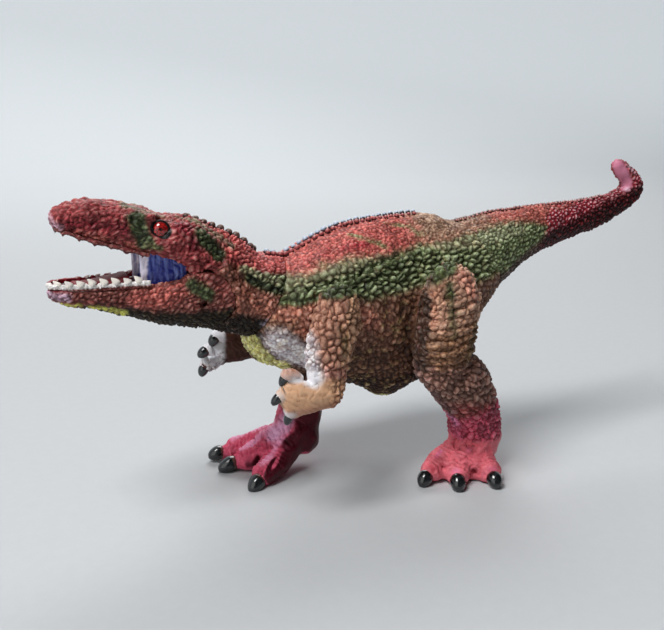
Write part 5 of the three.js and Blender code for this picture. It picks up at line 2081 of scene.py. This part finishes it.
    def paint(self) -> PaintedVinyl:
        """Tan thigh, grey-brown shank, maroon ankle and pink foot, with painted shade and highlights."""
        thigh = (
            Coat("salmon", 0xE8A28A, self.dab(((11, -21, 60), (13.5, -22, 55)), 2.4, 2.0), 0.45, 0xFCD0BC),
            Coat(
                "front_tan", 0xCC9478, self.dab(((1, -20, 56), (0, -21, 48)), 2.4, 2.0, 0.8), 0.45, 0xE8BEA8
            ),
            Coat("thigh_low", 0x9E7658, Along(DOWN, -50, -42), 0.45, 0xCEA68A),
            Coat(
                "hip_shade", 0x5C5A3A,
                self.dab(((5.6, -21, 61), (6.4, -22.6, 55), (6.3, -24, 45)), 1.3, 2.0, 0.85), 0.5, 0xA6A67C,
            ),
            Coat(
                "hip_green", 0x586640,
                self.dab(((5.6, -21, 61), (6.2, -22.4, 56)), 1.3, 1.6) | Along((-0.55, 0, 1), 47.6, 50.2),
                0.35, 0x96A67C,
            ),
            # Painted shade in the thigh's front fold and on the side that faces forward.
            Coat(
                "fold_dark", 0x50382A,
                self.dab(((-2, -16, 52), (-3, -17, 40)), 1.4, 2.0) | Facing((-1, 0, -0.2), 0.5, 0.95), 0.4,
            ),
        )
        base, lower = (0xE8B89A, self.near) if self.flank is Flank.LEFT else (0xAA7A62, self.far)
        return PaintedVinyl(self.name.replace("skin", "paint"), base, thigh + lower)

    def talons(self) -> tuple[Talon, ...]:
        """The three toe claws."""
        if self.flank is Flank.LEFT:
            return (
                Talon((5.3, -15.5, 2.7), (-0.79, -0.54, -0.26), 5.2, 2.2, 1.3),
                Talon((11.1, -20.9, 2.7), (-0.42, -0.88, -0.16), 5.2, 2.25, 1.3),
                Talon((20.6, -23.6, 2.7), (-0.2, -0.96, -0.16), 5.2, 2.2, 1.4),
            )
        return (
            Talon((-38.2, 2.2, 2.7), (-0.73, -0.47, -0.42), 5.8, 2.4, 1.0),
            Talon((-39.9, 14.3, 2.8), (-0.97, 0.1, -0.18), 7.0, 2.35, 1.8),
            Talon((-40.2, 22.2, 2.8), (-0.99, 0.14, -0.05), 7.0, 2.2, 2.9),
        )


@dataclass
class LowerGum(Hide):
    """The strip that the lower teeth stand on."""

    top: float = 62.9

    def trim(self, co: Array) -> Array:
        """Takes the solid's own short teeth down, since the modelled ones stand there."""
        co = co.copy()
        co[:, 2] = np.minimum(co[:, 2], self.top + 0.1 * (co[:, 2] - self.top))
        return co

    # Small beads under the teeth.
    scales = (Scales(1.2, 0.3),)

    # The top that the teeth stand on.
    smooth = Along(UP, 61.8, 62.4)

    def paint(self) -> PaintedVinyl:
        """Dusty rose with white running down from the teeth.

        Returns:
            The finish.
        """
        middle = self.yard.middle
        near = Along((0, -1, 0), -middle, 0.6 - middle) & Facing((0, 1, 0.2), 0.0, 0.5)
        far = Along((0, 1, 0), middle, 0.6 + middle) & Facing((0, -1, 0.4), 0.0, 0.4)
        white = Coat("white", 0xF0E6DE, Along(UP, 61.5, 62.1), 0.5)
        return PaintedVinyl(
            "gum_paint", 0x9E5852,
            (white, Coat("inner_red", 0x740C18, (near | far) & Along(FRONT, 0, 1), 0.2, 0xAA3C42)),
        )


@dataclass
class UpperNubs(Hide):
    """The low dark bumps along the upper lip."""

    lip: Profile = ((-90, 75.2), (-86, 74.2), (-80, 72.4), (-76, 70.9), (-68, 68.3))

    def trim(self, co: Array) -> Array:
        """Blunts the bumps.

        Args:
            co: Places, one row each.

        Returns:
            The places, blunted.
        """
        co = co.copy()
        end = np.interp(co[:, 0], [x for x, _ in self.lip], [z for _, z in self.lip]) - 0.45
        co[:, 2] = np.where(co[:, 2] < end, end + 0.3 * (co[:, 2] - end), co[:, 2])
        return co

    # Small wrinkled scales, as on the lip above.
    scales = (Scales(1.3, 0.15, (1, 0, 0.3), 1.5),)

    def paint(self) -> PaintedVinyl:
        """The lip's red, with painted shade on the side that faces down and light tips that are partly
        painted highlight.
        """
        # Darker on the side that faces down: painted shade.
        return PaintedVinyl(
            "nub_paint", 0x964646, (Coat("below", 0x56282A, Facing(DOWN, 0.0, 0.7), 0.5, 0xB08886),)
        )


@dataclass
class Lining(Hide):
    """The cheek lining."""

    # Upright pleats.
    folds = (Folds(((-71, -3.4, 65), (-58, -3.4, 65)), 8.0, 1.7, 0.3, 2.0, 0.0, True),)

    # All of it.
    smooth = Along(UP, 0, 1)

    def paint(self) -> MouthPaint:
        """Cobalt with pale streaks, lilac at the front whose light edge is partly a painted highlight."""
        return MouthPaint("lining_paint", 0x182488, 0x8CA0E8, 0xFAF0FF)

    def mark(self, obj: Obj, at: Surface, sown: dict[str, Array]) -> None:
        """Keeps the pleats and the front edge."""
        keep(obj.data, "pebble", sown["pebble"])
        keep(obj.data, "rim", Along((-1, 0, 0.15), 75.5, 78.5).cover(at))


@dataclass
class Tongue(Hide):
    """The mouth's floor."""

    # All of it.
    smooth = Along(UP, 0, 1)

    @property
    def swells(self) -> tuple[Swell, ...]:
        """The groove along the middle."""
        return (Swell(((-84, self.yard.middle, 61), (-71, self.yard.middle, 63)), 0.9, -0.5),)

    def paint(self) -> MouthPaint:
        """Dark red, wet."""
        return MouthPaint("tongue_paint", 0x58040C, 0x800E18, 0x6E0A14, 0.55, (0.3, 1.0, 1.0))

    def mark(self, obj: Obj, at: Surface, sown: dict[str, Array]) -> None:
        """Keeps the relief and the front edge."""
        keep(obj.data, "pebble", sown["pebble"])
        keep(obj.data, "rim", Along(FRONT, 82, 85).cover(at))


@dataclass
class LowerTeeth:
    """The teeth on the lower strip, copies of one tooth."""

    yard: Yard
    rail: Line = (
        (-69.6, -4.5, 62.4), (-74, -3.95, 62.4), (-79, -2.95, 62.4), (-84, -2.5, 62.4), (-87, -1.8, 62.4),
        (-89.6, -0.2, 62.4),
    )
    pitch: float = 2.7
    height: float = 1.75
    far_share: float = 0.3
    half_width: float = 1.05
    half_depth: float = 0.75
    lean: float = 0.65

    def build(self) -> Obj:
        """Sets a tooth at each pitch along both sides.

        Returns:
            The piece.
        """
        points = np.array(self.rail)
        steps = np.linalg.norm(np.diff(points, axis=0), axis=1)
        runs = np.concatenate([[0], np.cumsum(steps)])
        teeth = []
        rng = np.random.default_rng(31)

        def on_rail(run: float) -> Array:
            """The place on the rail after this run."""
            return np.array([np.interp(run, runs, points[:, k]) for k in range(3)])

        for flank in Flank:
            for run in np.arange(0.6, runs[-1], self.pitch):
                place = on_rail(run)
                along = Vector(on_rail(run + 0.5) - on_rail(run - 0.5))
                if flank is Flank.RIGHT:
                    place[1] = 2 * self.yard.middle - place[1]
                    along.y = -along.y
                share = (self.far_share if flank is Flank.RIGHT else 1.0) * rng.uniform(0.85, 1.1)
                way = Vector((-self.lean, 0, 1)).normalized()
                size = Matrix.Diagonal(
                    (self.half_depth * MM, self.half_width * MM, self.height * share * MM, 1)
                )
                turn = aim(way, along.normalized())
                matrix = Matrix.Translation(Vector(place) * MM) @ turn @ size
                tooth = placed(self.yard.tooth, matrix, f"tooth_{len(teeth)}")
                # The far row takes the stained colour all over, as painted shade inside the mouth.
                if flank is Flank.RIGHT:
                    keep(tooth.data, "foot", np.full(len(tooth.data.vertices), 1.0))
                teeth.append(tooth)
        obj = join("lower_teeth_row", teeth)
        put(obj.data, self.yard.inside(places(obj.data)))
        return self.yard.dress(obj, Enamel(), "jaw", "tooth_white")


@dataclass
class Eye:
    """A glossy eye in a black ring."""

    yard: Yard
    flank: Flank
    centre: Point = (-64.75, -4.25, 74.85)
    way: Point = (-0.22, -0.95, 0.2)
    radius: float = 2.35
    ring: float = 2.0
    ring_half: float = 0.32

    def build(self) -> Obj:
        """Makes the ball and its ring as one piece.

        Returns:
            The piece.
        """
        name = f"{self.flank.name.lower()}_eye"
        bpy.ops.mesh.primitive_uv_sphere_add(segments=32, ring_count=18, radius=self.radius * MM)
        ball = bpy.context.object
        co = places(ball.data)
        keep(ball.data, "ring", np.arccos(np.clip(co[:, 2] / self.radius, -1, 1)))
        bpy.ops.mesh.primitive_torus_add(
            major_segments=36, minor_segments=10, major_radius=self.ring * MM,
            minor_radius=self.ring_half * MM, location=(0, 0, self.radius * 0.52 * MM),
        )
        ring = bpy.context.object
        keep(ring.data, "ring", np.full(len(ring.data.vertices), 2.0))
        obj = join(f"{name}_ball", [ball, ring])
        sign = 1 if self.flank is Flank.LEFT else -1
        way = Vector((self.way[0], self.way[1] * sign, self.way[2]))
        x, y, z = self.centre
        place = Vector((x, y if sign > 0 else 2 * self.yard.middle - y, z))
        obj.data.transform(Matrix.Translation(place * MM) @ aim(way))
        return self.yard.dress(obj, GlossEye(), "head", "eye_gloss", name)


@dataclass(frozen=True)
class Row:
    """A row of crest beads: where it runs, how far it lies from the middle, its pitch and radii."""

    start: float
    end: float
    aside: float
    pitch: float
    first: float
    last: float
    far: bool = False


@dataclass
class Crest:
    """Rows of beads along the back, copies of one bead."""

    yard: Yard
    name: str
    body: str
    slot: str
    finish: CrestPaint
    rows: tuple[Row, ...]
    seed: int = 1

    # A height above all the solids, from which the seats are looked for.
    ABOVE = 120.0

    def build(self) -> Obj:
        """Seats the beads on the solid from above.

        Returns:
            The piece.
        """
        rng = np.random.default_rng(self.seed)
        beads = []
        for row in self.rows:
            x = row.start
            while x < row.end:
                share = (x - row.start) / (row.end - row.start)
                radius = (row.first + (row.last - row.first) * share) * rng.uniform(0.82, 1.15)
                start = Vector((x, self.yard.middle + row.aside + rng.uniform(-0.15, 0.15), self.ABOVE))
                seat, normal, _, _ = self.yard.tree.ray_cast(start, Vector((0, 0, -1)))
                if seat is not None:
                    size = Matrix.Diagonal((radius * MM, radius * MM, radius * 1.1 * MM, 1))
                    turn = aim(normal, Vector((0, 1, 0)))
                    matrix = Matrix.Translation((seat + normal * radius * 0.2) * MM) @ turn @ size
                    bead = placed(self.yard.bead, matrix, f"{self.name}_{len(beads)}")
                    keep(bead.data, "far", np.full(len(bead.data.vertices), float(row.far)))
                    beads.append(bead)
                x += row.pitch * rng.uniform(0.9, 1.12)
        return self.yard.dress(join(self.name, beads), self.finish, self.body, self.slot)


@dataclass
class Pin:
    """The hinge pin, its ends painted over."""

    yard: Yard

    def build(self) -> Obj:
        """Copies the pin and marks its ends.

        Returns:
            The piece.
        """
        obj = copy_of(self.yard.frame["nodes"]["jaw_pin"], "jaw_pin_steel")
        co = places(obj.data)
        aside = np.abs(co[:, 1] - self.yard.middle)
        keep(obj.data, "painted", (aside > aside.max() - 0.2).astype(float))
        obj.data.materials.append(self.yard.finish(PinSteel()))
        return self.yard.settle(obj, "head", "pin_steel", "jaw_pin")


class Models:
    """Small models that are copied: a claw, a tooth and a bead."""

    def grown(self, sides: int, rings: Sequence[Point], name: str) -> Obj:
        """A tapering horn of radius 1 from z 0 to z 1, drawn ring by ring out of a disc's rim.

        Args:
            sides: The rings' sides.
            rings: Each ring's rise, its radius and its shift along Y.
            name: The model's name.

        Returns:
            The model.
        """
        bpy.ops.mesh.primitive_circle_add(
            vertices=sides, radius=rings[0][1], fill_type="NGON", location=(0, 0, 0)
        )
        obj = bpy.context.object
        bpy.ops.object.mode_set(mode="EDIT")
        bpy.ops.mesh.select_mode(type="FACE")
        bpy.ops.mesh.select_all(action="SELECT")
        for (low, girth, back), (high, wanted, forward) in zip(rings[:-1], rings[1:]):
            bpy.ops.mesh.extrude_region_move(
                TRANSFORM_OT_translate={"value": (0, forward - back, high - low)}
            )
            bpy.ops.transform.resize(
                value=(wanted / girth, wanted / girth, 1), center_override=(0, forward, high)
            )
        bpy.ops.mesh.inset(thickness=rings[-1][1] * 0.4)
        bpy.ops.mesh.select_all(action="SELECT")
        bpy.ops.mesh.normals_make_consistent(inside=False)
        bpy.ops.object.mode_set(mode="OBJECT")
        obj.name = name
        apply_modifier(obj, "SUBSURF", levels=1, render_levels=1)
        return obj

    def claw(self) -> Obj:
        """A blunt claw that bends down a little.

        Returns:
            The model.
        """
        rings = (
            (0, 0.8, 0), (0.2, 0.98, 0), (0.4, 1.02, -0.03), (0.6, 0.95, -0.09), (0.78, 0.8, -0.17),
            (0.92, 0.56, -0.25), (1.0, 0.3, -0.3),
        )
        obj = self.grown(16, rings, "claw_model")
        height = places(obj.data)[:, 2] * MM
        keep(obj.data, "root", ease((0.4 - height) / 0.2))
        return obj

    def tooth(self) -> Obj:
        """A broad tooth with a hooked tip.

        Returns:
            The model.
        """
        rings = (
            (-0.25, 0.95, 0), (0.05, 1.0, 0), (0.35, 0.8, 0.04), (0.65, 0.5, 0.12), (0.9, 0.24, 0.22),
            (1.0, 0.1, 0.28),
        )
        obj = self.grown(10, rings, "tooth_model")
        height = places(obj.data)[:, 2] * MM
        keep(obj.data, "foot", ease((0.3 - height) / 0.4))
        return obj

    def bead(self) -> Obj:
        """A bead of radius 1, drawn in at its foot.

        Returns:
            The model.
        """
        bpy.ops.mesh.primitive_uv_sphere_add(segments=12, ring_count=8, radius=1, location=(0, 0, 0))
        obj = bpy.context.object
        obj.name = "bead_model"
        keep(obj.data, "top", places(obj.data)[:, 2] * MM)
        return obj


# The floor's size, the backdrop's lean and height, and the bend between them, in metres.
FLOOR_SIZE = (8, 3, 1)
BACK_RISE = (0, 0.2, 2.5)
BEND = 0.8

# Each lamp's name, place in metres, width and power.
LAMPS = (
    ("key", (-0.42, -0.14, 0.85), 0.35, 7.6),
    ("window", (-0.75, -0.3, 0.32), 0.8, 2.4),
    ("rim", (0.25, 0.6, 0.7), 0.5, 4.0),
)

# What the lamps are turned to.
LIT = Vector((0, 0, 0.05))


def camera() -> None:
    """The camera that was fitted to the photograph."""
    scene = bpy.context.scene
    scene.view_settings.view_transform = "Standard"
    bpy.ops.object.camera_add(location=CAMERA_PLACE, rotation=CAMERA_TURN)
    made = bpy.context.object
    made.name = "camera"
    made.data.sensor_width = SENSOR
    made.data.lens = FOCAL_PIXELS * SENSOR / PHOTO_WIDTH
    made.data.clip_start, made.data.clip_end = 0.005, 20
    scene.camera = made


def choose_edges(mesh: Mesh, low: float, high: float) -> None:
    """Selects the edges that lie between two places along Y."""
    for edge in mesh.edges:
        edge.select = all(low < mesh.vertices[v].co.y < high for v in edge.vertices)


def backdrop() -> None:
    """The floor, bent up into a backdrop."""
    bpy.ops.mesh.primitive_plane_add(size=1, location=(0, 0, 0))
    floor = bpy.context.object
    floor.name = "floor"
    bpy.ops.object.mode_set(mode="EDIT")
    bpy.ops.transform.resize(value=FLOOR_SIZE)
    bpy.ops.object.mode_set(mode="OBJECT")
    back = FLOOR_SIZE[1] / 2
    choose_edges(floor.data, 0, math.inf)
    bpy.ops.object.mode_set(mode="EDIT")
    bpy.ops.mesh.select_mode(type="EDGE")
    bpy.ops.mesh.extrude_region_move(TRANSFORM_OT_translate={"value": BACK_RISE})
    bpy.ops.object.mode_set(mode="OBJECT")
    choose_edges(floor.data, back - 0.01, back + 0.01)
    bpy.ops.object.mode_set(mode="EDIT")
    bpy.ops.mesh.bevel(offset=BEND, segments=16)
    bpy.ops.object.mode_set(mode="OBJECT")
    bpy.ops.object.shade_smooth()
    floor.data.materials.append(Paper().material())
    floor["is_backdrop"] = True


def lights() -> None:
    """The room's light and the lamps."""
    world = bpy.data.worlds.new("studio")
    bpy.context.scene.world = world
    world.use_nodes = True
    world.node_tree.nodes["Background"].inputs[0].default_value = (0.9, 0.94, 1.0, 1)
    world.node_tree.nodes["Background"].inputs[1].default_value = 0.3
    for name, place, size, power in LAMPS:
        bpy.ops.object.light_add(type="AREA", location=place)
        lamp = bpy.context.object
        lamp.name = name
        lamp.data.size, lamp.data.energy = size, power
        lamp.rotation_euler = (LIT - Vector(place)).to_track_quat("-Z", "Y").to_euler()


def main() -> None:
    """Builds the figure in order."""
    logging.basicConfig(level=logging.INFO, format="%(message)s")
    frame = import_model()
    yard = Yard.of(frame)
    models = Models()
    yard.claw, yard.tooth, yard.bead = models.claw(), models.tooth(), models.bead()
    camera()
    backdrop()
    lights()
    hides = [
        Torso(
            yard, "torso_shell", "torso", "torso_skin", "body_skin", voxel=0.372, rounds=104, seed=3,
            snug=0.09,
        ),
        Head(
            yard, "head_and_neck", "head", "head_skin", "head_skin", voxel=0.29, rounds=60, lump=0.28,
            snug=0.07, seed=4,
        ),
        Jaw(yard, "lower_jaw", "jaw", "jaw_skin", "head_skin", voxel=0.29, rounds=40, snug=0.05, seed=5),
        Tail(yard, "tail", "tail_body", "tail_skin", "tail_skin", voxel=0.3, rounds=90, seed=6, snug=0.09),
        Arm.of(yard, Flank.LEFT, "arm", 0.29, 36, seed=7),
        Arm.of(yard, Flank.RIGHT, "arm", 0.29, 36, seed=8),
        Leg.of(yard, Flank.LEFT, "leg", 0.31, 100, seed=9),
        Leg.of(yard, Flank.RIGHT, "leg", 0.31, 120, seed=10),
        LowerGum(
            yard, "lower_teeth", "jaw", "lower_gum", "tooth_white", voxel=0.2, rounds=6, lump=0.04, seed=11
        ),
        UpperNubs(
            yard, "upper_teeth", "head", "upper_nubs", "gum_dark", voxel=0.2, rounds=46, lump=0.12,
            regain=0.1, seed=12,
        ),
        Lining(
            yard, "mouth_lining", "head", "mouth_lining_skin", "mouth_blue", voxel=0.25, rounds=20, lump=0.06,
            seed=13,
        ),
        Tongue(yard, "tongue", "jaw", "tongue_skin", "tongue_red", voxel=0.25, rounds=20, lump=0.08, seed=14),
    ]
    for hide in hides:
        hide.mould()
        if isinstance(hide, Limb):
            hide.claws()
    LowerTeeth(yard).build()
    for flank in Flank:
        Eye(yard, flank).build()
    Pin(yard).build()
    neck = CrestPaint("neck_crest_paint", 0x62463C, 0x787064)
    back = CrestPaint("back_crest_paint", 0x9E4646, 0xB0BED0)
    tail = CrestPaint("tail_crest_paint", 0xA0625E, 0xA8A0A2)
    neck_rows = (Row(-57, -38.6, -0.9, 2.0, 0.8, 1.0), Row(-56, -39, 1.0, 2.1, 0.75, 0.95, True))
    back_rows = (Row(-35.8, 8, -1.5, 1.75, 0.85, 0.6), Row(-35.4, 9, 0.5, 1.85, 0.95, 0.65, True))
    tail_rows = (Row(22.5, 76, -0.7, 1.4, 0.5, 0.55), Row(23, 76, 0.5, 1.5, 0.55, 0.5, True))
    Crest(yard, "neck_crest", "head", "head_skin", neck, neck_rows, seed=21).build()
    Crest(yard, "back_crest", "torso", "body_skin", back, back_rows, seed=22).build()
    Crest(yard, "tail_crest", "tail_body", "tail_skin", tail, tail_rows, seed=23).build()
    for model in (yard.claw, yard.tooth, yard.bead):
        bpy.data.objects.remove(model)


if __name__ == "__main__":
    main()
